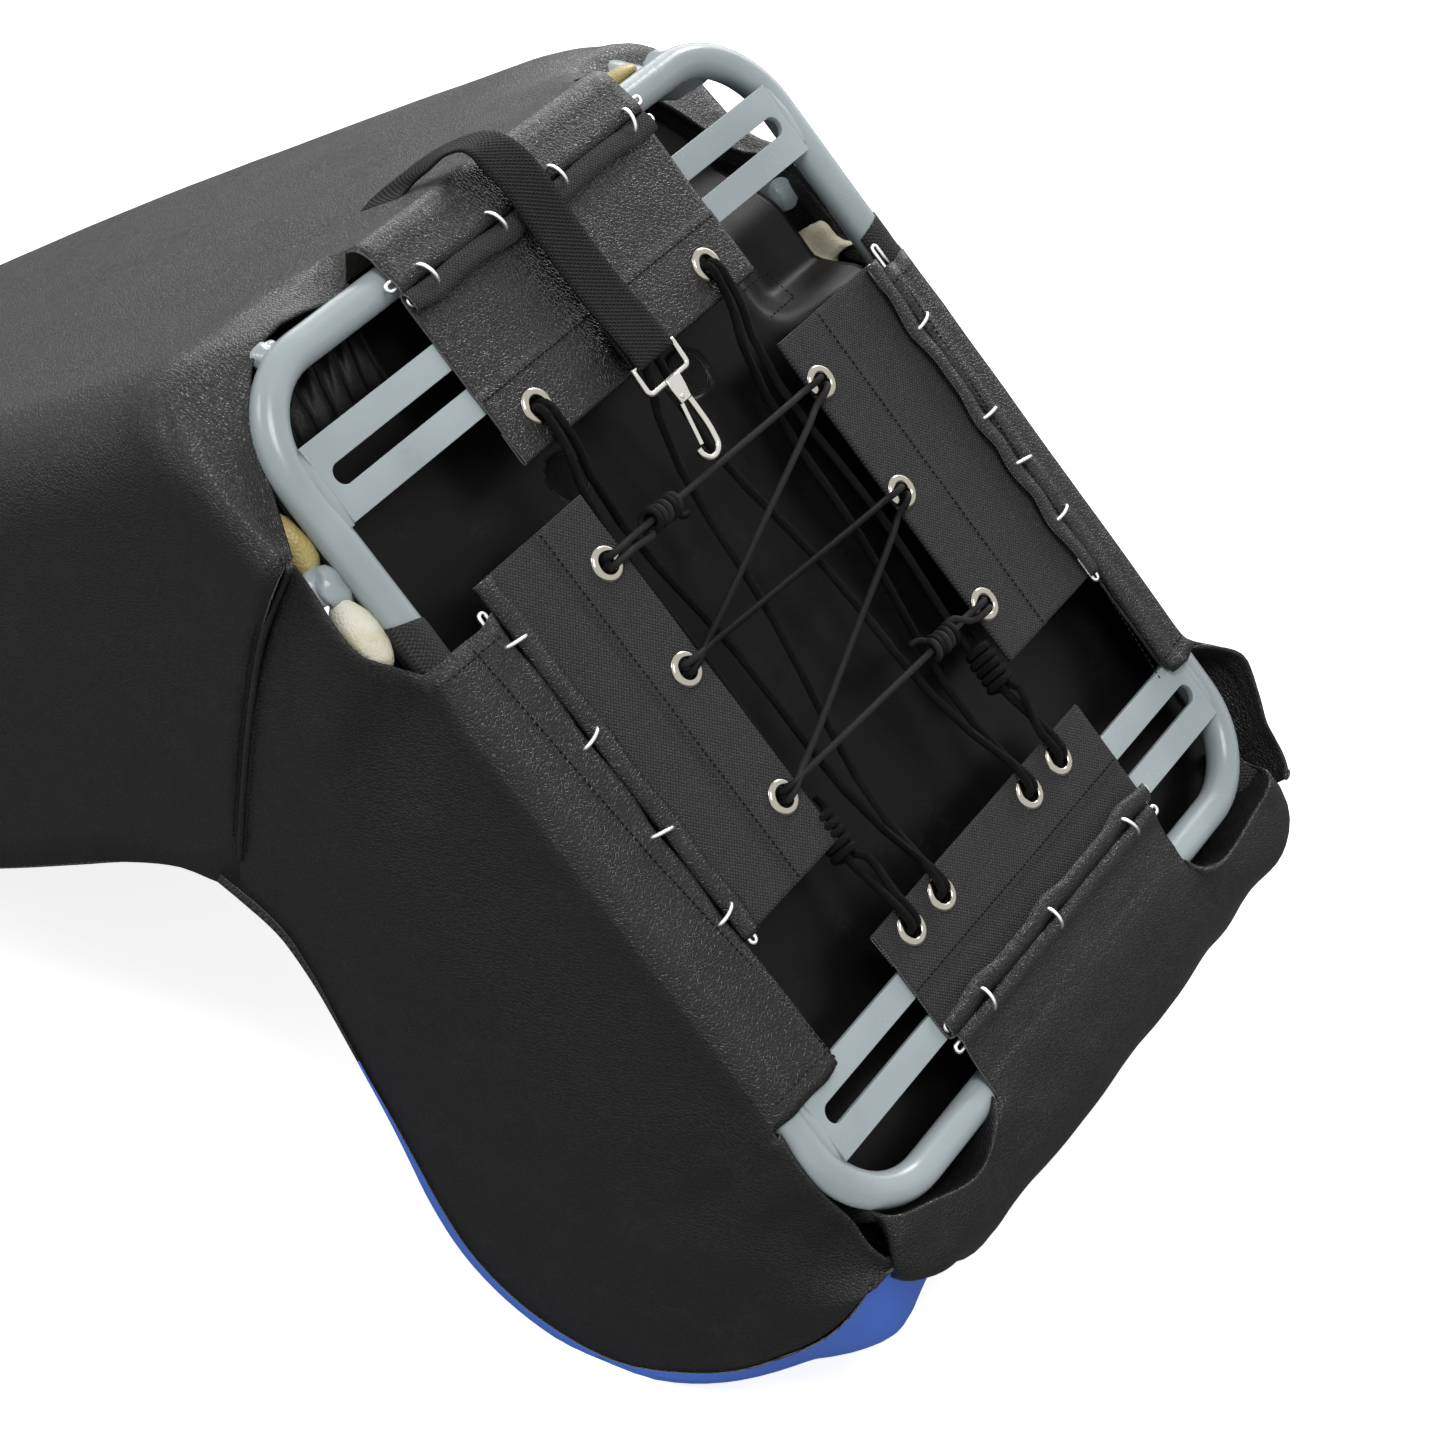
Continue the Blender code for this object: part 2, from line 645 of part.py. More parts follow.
def bolster_facing(side):
    """Facing over the edge of a bolster, from the side cover to the foot of the inner wall."""
    edges = SIDE_EDGE[:-2]
    normals = edge_normals([(x, z) for x, y, z in edges])
    rows = []
    for i, ((x, y, z), normal) in enumerate(zip(edges, normals)):
        room = min(1.0, (y - CUSHION_HALF - 1.0) / RIM[-1][1])
        start, rest = RIM[0], [(out * room, across * room) for out, across in RIM[1:]]
        row = []
        for out, across in [start] + rest:
            row.append((x + normal[0] * out, side * (y - across), z + normal[1] * out))
        wall_x = min(x, fit_x(262.0) + 2.5 * i)
        row.append((wall_x, side * (CUSHION_HALF + (1.2 if x > fit_x(230.0) else 0.0)), -109.0))
        rows.append(row)
    return rows


WING_ROWS = back_rows()[len(SEAM):-2]    # from the lower end of the piped seam to the head


def wing_facing(side):
    rows = []
    for rear, edge in WING_ROWS:
        section = []
        for out, across in RIM:
            depth = max(edge[1] + out, 99.0)
            section.append(back_point(edge[0], depth + GAP, side * (SIDE_Y - across)))
        section.append(back_point(edge[0], 97.5, side * CUSHION_HALF))
        rows.append(section)
    return rows


def outward(rows, flip):
    return [list(reversed(row)) for row in rows] if flip else rows


for side, word in ((LEFT, "left"), (RIGHT, "right")):
    sheet(word + "_seat_side_cover", outward(side_columns(side), side == LEFT), COVER, "vinyl", LYING)
    sheet(word + "_bolster_facing", outward(bolster_facing(side), side == RIGHT), COVER, "blue", LYING)
    sheet(word + "_wing_facing", outward(wing_facing(side), side == LEFT), COVER, "woven", LYING)


def panel_rows(path, half_width, crown):
    """A panel across the seat following an (x, z) path, with a slight crown away from the foam."""
    spread = (-1.0, -0.6, 0.0, 0.6, 1.0)
    return [[(fit_x(x) + crown[0] * (1 - w * w), half_width * w, z + crown[1] * (1 - w * w)) for w in spread]
            for x, z in path]


FRONT_PATH = ((262.3, -12), (286, -14), (299, -34), (302, -62), (300, -86), (291, -105))
SEAT_PATH = ((289.7, -106.4), (272, -109.3), (160, -107.2), (40, -104.9), (-80, -100.1), (-182, -97.6))
sheet("front_cover", outward(panel_rows(FRONT_PATH, CUSHION_HALF - 2.0, (0, 0)), True), COVER, "vinyl", LYING)
PANEL_HALF = CUSHION_HALF - 0.7
sheet("seat_centre_panel", outward(panel_rows(SEAT_PATH, PANEL_HALF, (0, -3.0)), True), COVER, "vinyl", LYING)


def add_back_panel():
    path = (118, 200, 300, 430, 520, 610, 700, 780, 835)
    rows = [[back_point(s, 95.4, PANEL_HALF * w) for w in (-1.0, -0.5, 0.0, 0.5, 1.0)] for s in path]
    sheet("backrest_centre_panel", outward(rows, True), COVER, "vinyl", LYING)


add_back_panel()


def piping_path(side):
    points = []
    for i in range(13):
        t = i / 12 * (len(SEAM) - 1.12)
        k = min(int(t), len(SEAM) - 2)
        x, z = mix(SEAM[k], SEAM[k + 1], t - k)
        points.append((x, side * (SIDE_Y + 0.4), z))
    return points


for side, word in ((LEFT, "left"), (RIGHT, "right")):
    add_part(word + "_piping", tube_mesh(word + "_piping", [piping_path(side)], PIPING_R, resolution=2),
             "vinyl", LYING)


# Hems turned over the tube, and the flaps hooked to them
def fold_profile(edge, toward):
    """Folded sleeve of cloth: its closed edge, its open end, and back along the upper layer."""
    top = HEM_LIFT + FOLD_HEIGHT
    return [(edge, HEM_LIFT), (edge, top), (edge + toward * FOLD_DEPTH, top),
            (edge + toward * FOLD_DEPTH, top - CLOTH), (edge + toward * CLOTH, top - CLOTH),
            (edge + toward * CLOTH, HEM_LIFT + CLOTH)]


def hem_profile(side_name, spec):
    fold = fold_profile(spec["ring_line"] - 0.8, -1)
    inner = TUBE_R + HEM_LIFT
    outer = inner + CLOTH
    if side_name == "rear":
        under = [(-22.5, -9.0), (-17.5, -2.2), (-6.0, HEM_LIFT)]
        over = [(-4.0, HEM_LIFT + CLOTH), (-18.3, -1.0), (-23.7, -9.0)]
    else:
        under = [(-inner, -14.0)] + arc((0, -TUBE_R), inner, 180, 90, 4)
        over = arc((0, -TUBE_R), outer, 90, 180, 4) + [(-outer, -14.0)]
    return under + fold + over


def flap_profile(spec):
    fold = fold_profile(spec["ring_line"] + 0.8, 1)
    return fold + [(spec["inner"], HEM_LIFT + CLOTH), (spec["inner"], HEM_LIFT)]


def notches(name, spec, place):
    bm = bmesh.new()
    line = spec["ring_line"]
    start, end = line - NOTCH_DEPTH, line + NOTCH_DEPTH
    box = [(start, -2.0), (end, -2.0), (end, 12.0), (start, 12.0)]
    for along in spec["rings"]:
        add_prism(bm, box, place, along - NOTCH / 2, along + NOTCH / 2)
    return mesh_from(bm, name)


def eyelet_holes(name, spec, place):
    bm = bmesh.new()
    radius = EYELET_HOLE_R + EYELET_BARREL + 1.0
    for along in spec["eyelets"]:
        ring = [place(spec["eyelet_in"] + a, 0.0, along + b)[:2] for a, b in arc((0, 0), radius, 0, 330, 11)]
        add_prism(bm, ring, lambda a, b, t: (a, b, t), -5.0, 8.0)
    return mesh_from(bm, name)


def ring_path(spec, place, along):
    """A hog ring round the two listing wires, left open underneath."""
    points = []
    for i in range(8):
        t = math.radians(-70 + 320 * i / 7)
        inward = spec["ring_line"] + RING_HALF_WIDTH * math.cos(t)
        points.append(place(inward, RING_HEIGHT + RING_HALF_HEIGHT * math.sin(t), along))
    return points


def wire_path(line, span, place, toward):
    """A listing wire with a hairpin at each end."""
    near, far = line, line + toward * 4.2
    mid = (near + far) / 2
    radius = 2.1
    start, end = span[0] - 3.0, span[1] + 3.0
    hairpin = [(mid - toward * radius * math.cos(a), radius * math.sin(a)) for a in (0.0, 1.05, 2.09, 3.14)]
    path = [(far, start + 14)]
    path += [(d, start - s) for d, s in reversed(hairpin)]
    path += [(near, (start + end) / 2)]
    path += [(d, end + s) for d, s in hairpin]
    path += [(far, end - 14)]
    return [place(d, WIRE_HEIGHT, along) for d, along in path]


def eyelet_profile():
    """Half section of a rolled eyelet, from its upper rim down to the flange under the flap."""
    top = HEM_LIFT + CLOTH + GAP
    low = HEM_LIFT - GAP
    barrel = EYELET_HOLE_R + EYELET_BARREL
    dome = [(EYELET_R, top), (EYELET_R - 1.3, top + 1.2), (EYELET_HOLE_R + 1.4, top + 1.4)]
    bore = [(EYELET_HOLE_R, top + 0.2), (EYELET_HOLE_R, low - 0.7)]
    return dome + bore + [(EYELET_R - 1.5, low - 0.7), (barrel + 0.6, low), (barrel, top)]


def eyelet_mesh():
    bm = bmesh.new()
    loop = [bm.verts.new(scaled((r, 0.0, z))) for r, z in eyelet_profile()]
    edges = [bm.edges.new((a, b)) for a, b in zip(loop, loop[1:] + loop[:1])]
    bmesh.ops.spin(bm, geom=loop + edges, axis=(0, 0, 1), angle=math.tau, steps=10, use_merge=True)
    bmesh.ops.remove_doubles(bm, verts=bm.verts, dist=0.00001)
    return mesh_from(bm, "eyelet")


def add_eyelets(side_name, spec, place):
    for index, along in enumerate(spec["eyelets"]):
        eyelet = add_part("%s_eyelet_%d" % (side_name, index + 1), eyelet_mesh(), "nickel", LYING)
        eyelet.location = scaled(place(spec["eyelet_in"], 0.0, along))


def add_base_side(side_name, spec):
    place = side_place(side_name)
    hem_name, flap_name = side_name + "_hem", side_name + "_flap"
    hem_mesh = prism_mesh(hem_name, hem_profile(side_name, spec), place, *spec["hem"])
    hem = add_part(hem_name, hem_mesh, "vinyl", LYING)
    cut(hem, notches(side_name + "_hem_notches", spec, place))
    flap_mesh = prism_mesh(flap_name, flap_profile(spec), place, *spec["flap"])
    flap = add_part(flap_name, flap_mesh, "vinyl" if side_name == "rear" else "woven", LYING)
    cut(flap, notches(side_name + "_flap_notches", spec, place))
    cut(flap, eyelet_holes(side_name + "_flap_holes", spec, place))
    line = spec["ring_line"]
    wires = [wire_path(line - WIRE_OFF, spec["hem"], place, -1)]
    wires += [wire_path(line + WIRE_OFF, spec["flap"], place, 1)]
    name = side_name + "_hog_rings_and_wires"
    clenched = add_part(name, tube_mesh(name, wires, WIRE_R, resolution=1), "zinc", LYING)
    rings = [ring_path(spec, place, along) for along in spec["rings"]]
    join(clenched, tube_mesh(side_name + "_hog_rings", rings, RING_WIRE_R, resolution=1))
    add_eyelets(side_name, spec, place)


for side_name, spec in SIDES.items():
    add_base_side(side_name, spec)


# Lacing
def edge_distance(side_name):
    """From an eyelet to the inner edge of its flap."""
    return SIDES[side_name]["inner"] - SIDES[side_name]["eyelet_in"]


def eyelet_centre(side_name, index):
    spec = SIDES[side_name]
    x, y, z = side_place(side_name)(spec["eyelet_in"], 0.0, spec["eyelets"][index])
    return Vector((x, y, 0.0))


def flat_direction(start, end):
    line = Vector((end[0] - start[0], end[1] - start[1], 0.0))
    return line.normalized()


def knot_path(start, direction, height, radius, turns):
    """Turns of a cord round its own standing part, ending in a short tail."""
    across = Vector((-direction.y, direction.x, 0.0))
    coil = 2 * radius + GAP + 0.2
    count = 6 * turns
    points = []
    for i in range(count + 1):
        t = math.radians(180 + 60 * i)
        along = start + direction * (i * (2 * radius + 0.8) / 6)
        points.append(along + across * (coil * math.cos(t)) + Vector((0, 0, height + coil * math.sin(t))))
    tail = points[-1] + across * -9.0 + direction * 6.0 + Vector((0, 0, -2.0))
    return points + [tail, tail + across * -12.0 + direction * 3.0]


def over_rim(centre, direction, offset, radius, edge):
    """From under the eyelet up through its hole, over its rim and past the flap's edge."""
    across = Vector((-direction.y, direction.x, 0.0)) * offset
    rim = HEM_LIFT + CLOTH + GAP + 1.5 + GAP + radius
    steps = ((0.0, -1.5), (1.2, rim - 1.2), (4.0, rim + 0.3), (11.0, rim + 0.2),
             (edge + 5.0, HEM_LIFT + CLOTH + radius + 1.2))
    return [centre + across + direction * run + Vector((0, 0, height)) for run, height in steps]


def under_turn(centre, first, second, offset):
    """The bend below an eyelet that joins the strand coming in to the strand going out."""
    a = centre + Vector((-first.y, first.x, 0.0)) * -offset
    b = centre + Vector((-second.y, second.x, 0.0)) * offset
    low = Vector((0, 0, -1.5))
    side = (b - a) / 2
    middle = (a + b) / 2 + low
    depth = side.length
    return [middle - side * math.cos(t) + Vector((0, 0, -depth * math.sin(t))) for t in (1.05, 2.09)]


def lace_path(stops, radius, level, edge_run):
    """A lace through a list of eyelets, knotted round itself at both ends."""
    centres = [eyelet_centre(*stop) for stop in stops]
    path = []
    for i in range(len(centres) - 1):
        start, end = centres[i], centres[i + 1]
        going = flat_direction(start, end)
        coming = -going
        if i:
            before = flat_direction(centres[i], centres[i - 1])
            path += under_turn(start, before, going, TURN)
        length = (end - start).length
        leave = over_rim(start, going, TURN, radius, edge_distance(stops[i][0]))
        arrive = list(reversed(over_rim(end, coming, -TURN, radius, edge_distance(stops[i + 1][0]))))
        across = Vector((-going.y, going.x, 0.0)) * TURN
        marks = [edge_run, 0.5 * length, length - edge_run]
        run = [start + across + going * m + Vector((0, 0, level)) for m in marks]
        path += leave + run + arrive
    first = flat_direction(centres[0], centres[1])
    last = flat_direction(centres[-1], centres[-2])
    first_side = Vector((-first.y, first.x, 0.0)) * TURN
    last_side = Vector((-last.y, last.x, 0.0)) * -TURN
    begin = knot_path(centres[0] + first_side + first * (edge_run + 4), first, level, radius, KNOT_TURNS)
    finish = knot_path(centres[-1] + last_side + last * (edge_run + 4), last, level, radius, KNOT_TURNS)
    return path, begin, finish


def joined_end(centre, direction, offset, knot, radius, edge):
    """From the bend under the end eyelet back over its rim to the knot."""
    turn = under_turn(centre, direction, direction, offset)
    back = over_rim(centre, direction, -offset, radius, edge)
    return turn + back + knot


def add_lace(name, stops, radius, level, edge_run):
    path, begin, finish = lace_path(stops, radius, level, edge_run)
    first = flat_direction(eyelet_centre(*stops[0]), eyelet_centre(*stops[1]))
    last = flat_direction(eyelet_centre(*stops[-1]), eyelet_centre(*stops[-2]))
    head = joined_end(eyelet_centre(*stops[0]), first, TURN, begin, radius, edge_distance(stops[0][0]))
    end = eyelet_centre(*stops[-1])
    foot_turn = list(reversed(under_turn(end, last, last, TURN)))
    foot = foot_turn + over_rim(end, last, TURN, radius, edge_distance(stops[-1][0])) + finish
    whole = list(reversed(head)) + path + foot
    add_part(name, tube_mesh(name, [whole], radius, resolution=2), "cord", LYING)


CROSS_STOPS = [("left", 0), ("right", 0), ("left", 1), ("right", 1), ("left", 2), ("right", 2)]
LONG_STOPS = [("front", 0), ("rear", 0), ("front", 1), ("rear", 1), ("front", 2), ("rear", 2), ("front", 3)]
add_lace("cross_lace", CROSS_STOPS, CROSS_R, CROSS_HEIGHT, 30.0)
add_lace("long_lace", LONG_STOPS, LONG_R, LONG_HEIGHT, 44.0 + 0.65 * min(LONGER, 0.0))


# Tie-down strap, sewn in a loop round the eye of the hook
def strap_stations():
    """Centre line of the strap and its width direction: out of the back, over the rear edge, to the hook."""
    along_back = Vector(back_point(1, 0, 0)) - Vector(back_point(0, 0, 0))
    off = Vector(back_point(0, -1, 0)) - Vector(back_point(0, 0, 0))
    slit = Vector(back_point(32, 0, -26))
    wide = Vector((0, 1, 0))
    def blend(t):
        return (along_back * (1 - t) + wide * t).normalized()
    stations = [(slit + off * 0.5, along_back), (slit + off * 2.2 + wide * 8, along_back),
                (Vector(back_point(22, -7, -8)), blend(0.2)), (Vector(back_point(8, -11, -3)), blend(0.5)),
                (Vector((fit_x(-278), 0.5, 8.0)), blend(0.8)), (Vector((fit_x(-264), 2, 13.0)), wide),
                (Vector((fit_x(-246), HOOK_Y, 14.0)), wide), (Vector((fit_x(-228), HOOK_Y, 12.6)), wide),
                (Vector((fit_x(-205), HOOK_Y, 11.6)), wide), (Vector((fit_x(-180), HOOK_Y, 12.2)), wide)]
    inner = EYE_BAR_R + 0.7
    stations.append((Vector((EYE_BAR_X - 5, HOOK_Y, EYE_BAR_Z + inner)), wide))
    loop = []
    for angle in (90, 50, 10, -30, -60, -90):
        t = math.radians(angle)
        turn = Vector((EYE_BAR_X + inner * math.cos(t), HOOK_Y, EYE_BAR_Z + inner * math.sin(t)))
        loop.append((turn, wide))
    stations += loop
    stations += [(Vector((EYE_BAR_X - 8, HOOK_Y, EYE_BAR_Z - inner)), wide),
                 (Vector((EYE_BAR_X - 26, HOOK_Y, EYE_BAR_Z - inner)), wide)]
    return stations


def add_strap():
    half = STRAP_WIDTH / 2
    rows = [[centre - width * half, centre, centre + width * half] for centre, width in strap_stations()]
    sheet("tie_down_strap", rows, STRAP_THICK, "cord", LYING)


add_strap()


# Snap hook: the body turns on the strap's loop, the gate on its pin
HOOK_TILT = math.radians(2.6)
HOOK = new_empty("hook_pivot", LYING, Matrix.Translation(scaled((EYE_BAR_X, HOOK_Y, EYE_BAR_Z)))
                 @ Matrix.Rotation(HOOK_TILT, 4, "Y"))


def add_hook_body():
    """Eye, shank and prong of the hook as one casting, joined by union."""
    half = EYE_HALF_WIDTH
    eye = [(0, -half, 0), (EYE_LENGTH - 3, -half, 0), (EYE_LENGTH, -half + 3, 0),
           (EYE_LENGTH, half - 3, 0), (EYE_LENGTH - 3, half, 0), (0, half, 0)]
    prong = [(EYE_LENGTH, 3.0, 0), (34, 4.6, 0), (50, 4.0, 0), (56, 2.2, 0), (HOOK_REACH - 1.2, -2.6, 0),
             (HOOK_REACH - 1.6, -7.0, 0), (HOOK_REACH - 5.0, -10.2, 0), (HOOK_REACH - 9.0, -10.8, 0)]
    mesh = tube_mesh("snap_hook_body", [eye], EYE_BAR_R, cyclic=True)
    body = add_part("snap_hook_body", mesh, "nickel", HOOK)
    shank = [(EYE_LENGTH - 1.2, -4.6), (EYE_LENGTH + 5, -4.6), (28.0, -4.0), (28.4, 4.4),
             (EYE_LENGTH + 6, 6.2), (EYE_LENGTH - 1.2, 6.6)]
    join(body, tube_mesh("prong", [prong], PRONG_R, resolution=2))
    join(body, prism_mesh("shank", shank, lambda a, b, t: (a, b, t), -2.8, 2.8))
    fork = [(21.2, -9.0), (33.0, -9.0), (33.0, 0.95), (21.2, 0.95)]
    cut(body, prism_mesh("gate_fork", fork, lambda a, b, t: (a, b, t), -GATE_R - GAP, GATE_R + GAP))
    hole = arc(GATE_PIVOT, PIN_R + GAP, 0, 330, 11)
    cut(body, prism_mesh("pin_hole", hole, lambda a, b, t: (a, b, t), -6, 6))


add_hook_body()

GATE = new_empty("gate_pivot", HOOK, Matrix.Translation(scaled((*GATE_PIVOT, 0.0))))


def add_gate():
    tip = (GATE_TIP[0] - GATE_PIVOT[0], GATE_TIP[1] - GATE_PIVOT[1])
    length = math.hypot(*tip)
    turn = math.atan2(tip[1], tip[0])
    blade = arc((0, 0), 2.2, 60, 300, 8) + arc((length - 1.2, 0), 1.3, -90, 90, 5)
    def place(a, b, t):
        return (a * math.cos(turn) - b * math.sin(turn), a * math.sin(turn) + b * math.cos(turn), t)
    mesh = prism_mesh("snap_hook_gate", blade, place, -GATE_R, GATE_R)
    gate = add_part("snap_hook_gate", mesh, "nickel", GATE)
    cut(gate, prism_mesh("gate_hole", arc((0, 0), PIN_R + GAP, 0, 330, 11), place, -6, 6))


add_gate()
add_part("gate_pin", tube_mesh("gate_pin", [[(*GATE_PIVOT, -3.0), (*GATE_PIVOT, 3.0)]], PIN_R, resolution=2),
         "nickel", HOOK)


# Lying pose: the floor touches the bolsters and the head of the back, and the origin is under the middle
def side_view(names):
    """The (x, z) points of some pieces, in metres."""
    return [(v.co.x, v.co.z) for name in names for v in bpy.data.objects[name].data.vertices]


def lying_matrix():
    seat_points = side_view(["left_bolster_facing", "left_seat_side_cover"])
    head_points = side_view(["left_wing_facing", "back_cover"])
    tilt = math.radians(45.0)
    for step in range(30):
        def height(p, turn=tilt):
            return p[1] * math.cos(turn) - p[0] * math.sin(turn)
        def run(p, turn=tilt):
            return p[0] * math.cos(turn) + p[1] * math.sin(turn)
        low_seat = min(seat_points, key=height)
        low_head = min(head_points, key=height)
        tilt += math.atan2(height(low_seat) - height(low_head), run(low_seat) - run(low_head))
    reach = [run(p) for p in seat_points + head_points + side_view(["front_cover"])]
    middle = (max(reach) + min(reach)) / 2
    return Matrix.Translation((-middle, 0.0, -height(low_seat))) @ Matrix.Rotation(tilt, 4, "Y")


LYING.matrix_local = lying_matrix()
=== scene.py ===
"""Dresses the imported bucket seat: its covers, foam, lacing and hardware, on a plain pale stage.

Points are given in millimetres in the seat's own frame: x runs from the rear of the seat to its front, y
from its left side to its right side, and z points out of the underside. Each finished mesh is laid into the
row frame.
"""

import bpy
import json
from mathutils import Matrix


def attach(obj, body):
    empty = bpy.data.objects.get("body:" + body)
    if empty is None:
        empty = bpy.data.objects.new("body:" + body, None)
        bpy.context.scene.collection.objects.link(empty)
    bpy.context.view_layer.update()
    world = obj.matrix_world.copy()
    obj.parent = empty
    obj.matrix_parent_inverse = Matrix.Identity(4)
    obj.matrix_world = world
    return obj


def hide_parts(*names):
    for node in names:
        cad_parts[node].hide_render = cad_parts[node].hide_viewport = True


bl_info = {
    "name": "Upholstered bucket seat",
    "version": (1, 0, 0),
    "blender": (4, 5, 0),
    "location": "3D View > Sidebar > Bucket seat",
    "description": "Dresses the packed bucket seat with its covers, lacing and hardware",
    "category": "Object",
}

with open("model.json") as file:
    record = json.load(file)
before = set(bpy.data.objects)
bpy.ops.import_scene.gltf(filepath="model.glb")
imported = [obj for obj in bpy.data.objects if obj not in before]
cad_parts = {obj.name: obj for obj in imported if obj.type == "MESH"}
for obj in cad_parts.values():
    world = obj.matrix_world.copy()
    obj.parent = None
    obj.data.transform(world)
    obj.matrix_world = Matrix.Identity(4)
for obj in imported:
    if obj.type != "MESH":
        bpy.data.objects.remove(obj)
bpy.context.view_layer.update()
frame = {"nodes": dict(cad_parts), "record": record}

import json
import math

import bmesh
import bpy
from mathutils import Matrix, Vector, noise

LEFT, RIGHT = -1, 1
UP = Vector((0, 0, 1))
SIDE_WORDS = ((LEFT, "left"), (RIGHT, "right"))

# The seat's own frame, found from the face of its front left bar
BAR_FACE = next(m for m in frame["record"]["mounts"] if m["name"] == "front_bar_left_face")
OUTWARD = Vector(BAR_FACE["axis"]).normalized()
AHEAD = Vector((OUTWARD.z, 0.0, -OUTWARD.x))
TURN = Matrix((AHEAD, Vector((0.0, 1.0, 0.0)), OUTWARD)).transposed()
BAR_FACE_PLACE = Vector((0.1796, -0.15, 0.0))     # metres, in the seat's own frame
SEAT_ORIGIN = Vector(BAR_FACE["pos_m"]) - TURN @ BAR_FACE_PLACE
LYING = Matrix.Translation(SEAT_ORIGIN) @ TURN.to_4x4()
SEAT = LYING @ Matrix.Scale(0.001, 4)
SEAT_TILT = math.atan2(OUTWARD.x, OUTWARD.z)

# Base frame and back frame, as in the CAD
HALF_LENGTH = 250.5
HALF_WIDTH = 207.0
CORNER_R = 50.0
BAR_X = 193.0
BAR_HALF = 199.2
BAR_WIDTH = 42.4
BAR_THICK = 4.0
SLOT_WIDTH = 11.3
SLOT_SPAN = 187.0
HOOP_Y = 196.0
HOOP_Q = 15.3
HOOP_TOP = 780.0
HOOP_FOOT = 2.0
HOOP_BEND = 60.0
RECLINE = math.radians(13.0)
BACK_X = -272.0
TAPER = 0.38                     # share of its width that the back loses towards its top
TAPER_START = 400.0
TAPER_RUN = 470.0
SIDE_Y = 240.0
CUSHION_HALF = 151.5
LINING_Z = -30.0
FLOOR_LIFT = 0.0004              # metres; soft pieces that rest on the floor lie this much above it

# Sides of the base: ring line from the tube axis, hem span, flap span, flap inner edge, rings, line of the
# eyelets from the tube axis, eyelets
SIDES = {
    "rear": dict(ring_line=8.5, hem=(-97, 108), flap=(-97, 108), inner=108.5,
                 rings=(-77, -21, 31, 95), eyelet_in=91.0, eyelets=(-69, 6.5, 82)),
    "front": dict(ring_line=36.0, hem=(-100, 106), flap=(-103, 110), inner=101.5,
                  rings=(-70, 0, 84), eyelet_in=89.5, eyelets=(-79, -49, 43, 75)),
    "left": dict(ring_line=36.0, hem=(-97, 160), flap=(-113, 101), inner=125.0,
                 rings=(-81, -23, 34, 84), eyelet_in=112.5, eyelets=(-79, -14, 66)),
    "right": dict(ring_line=22.0, hem=(-105, 160), flap=(-104, 105), inner=116.0,
                  rings=(-62, 0, 32, 68), eyelet_in=108.0, eyelets=(-74, -2, 73)),
}


# Settings a user would change
class SeatCoverSettings(bpy.types.PropertyGroup):
    vinyl: bpy.props.FloatVectorProperty(
        name="Vinyl", description="Colour of the black cover", subtype="COLOR", size=3,
        min=0.0, max=1.0, default=(0.012, 0.012, 0.0115))
    blue: bpy.props.FloatVectorProperty(
        name="Facing", description="Colour of the bolster facings", subtype="COLOR", size=3,
        min=0.0, max=1.0, default=(0.05, 0.14, 0.56))
    backing: bpy.props.FloatVectorProperty(
        name="Backing", description="Colour of the woven backing of the flaps", subtype="COLOR", size=3,
        min=0.0, max=1.0, default=(0.04, 0.04, 0.0415))
    thickness: bpy.props.FloatProperty(
        name="Thickness", description="Thickness of the cover", unit="LENGTH", min=0.0005, default=0.0014)
    stitch: bpy.props.FloatProperty(
        name="Stitch", description="Length of one stitch", unit="LENGTH", min=0.001, default=0.0034)


class SeatFrameSettings(bpy.types.PropertyGroup):
    paint: bpy.props.FloatVectorProperty(
        name="Paint", description="Colour of the painted frame", subtype="COLOR", size=3,
        min=0.0, max=1.0, default=(0.345, 0.40, 0.415))
    tube: bpy.props.FloatProperty(
        name="Tube", description="Diameter of the frame tube", unit="LENGTH", min=0.005, default=0.019)


class SeatLacingSettings(bpy.types.PropertyGroup):
    colour: bpy.props.FloatVectorProperty(
        name="Lace", description="Colour of the laces and the strap", subtype="COLOR", size=3,
        min=0.0, max=1.0, default=(0.005, 0.005, 0.005))
    cross: bpy.props.FloatProperty(
        name="Cross lace", description="Diameter of the lace across the seat", unit="LENGTH",
        min=0.001, default=0.0038)
    long: bpy.props.FloatProperty(
        name="Long lace", description="Diameter of the lace along the seat", unit="LENGTH",
        min=0.001, default=0.0046)
    strap: bpy.props.FloatProperty(
        name="Strap", description="Width of the tie-down strap", unit="LENGTH", min=0.005, default=0.03)


class SeatStageSettings(bpy.types.PropertyGroup):
    floor: bpy.props.FloatVectorProperty(
        name="Floor", description="Colour of the floor", subtype="COLOR", size=3,
        min=0.0, max=1.0, default=(0.86, 0.86, 0.86))
    lens: bpy.props.FloatProperty(
        name="Lens", description="Focal length of the camera in millimetres", min=10.0, default=82.2)
    light: bpy.props.FloatProperty(
        name="Light", description="Strength of the studio lights", min=0.0, default=1.0)


# Points and lines
def mix(a, b, t):
    return Vector(a) * (1 - t) + Vector(b) * t


def ease(t):
    t = max(0.0, min(1.0, t))
    return t * t * (3 - 2 * t)


def arc(centre, radius, start, end, steps):
    """Points on an arc of a plane, angles in degrees."""
    angles = [math.radians(start + (end - start) * i / steps) for i in range(steps + 1)]
    return [(centre[0] + radius * math.cos(t), centre[1] + radius * math.sin(t)) for t in angles]


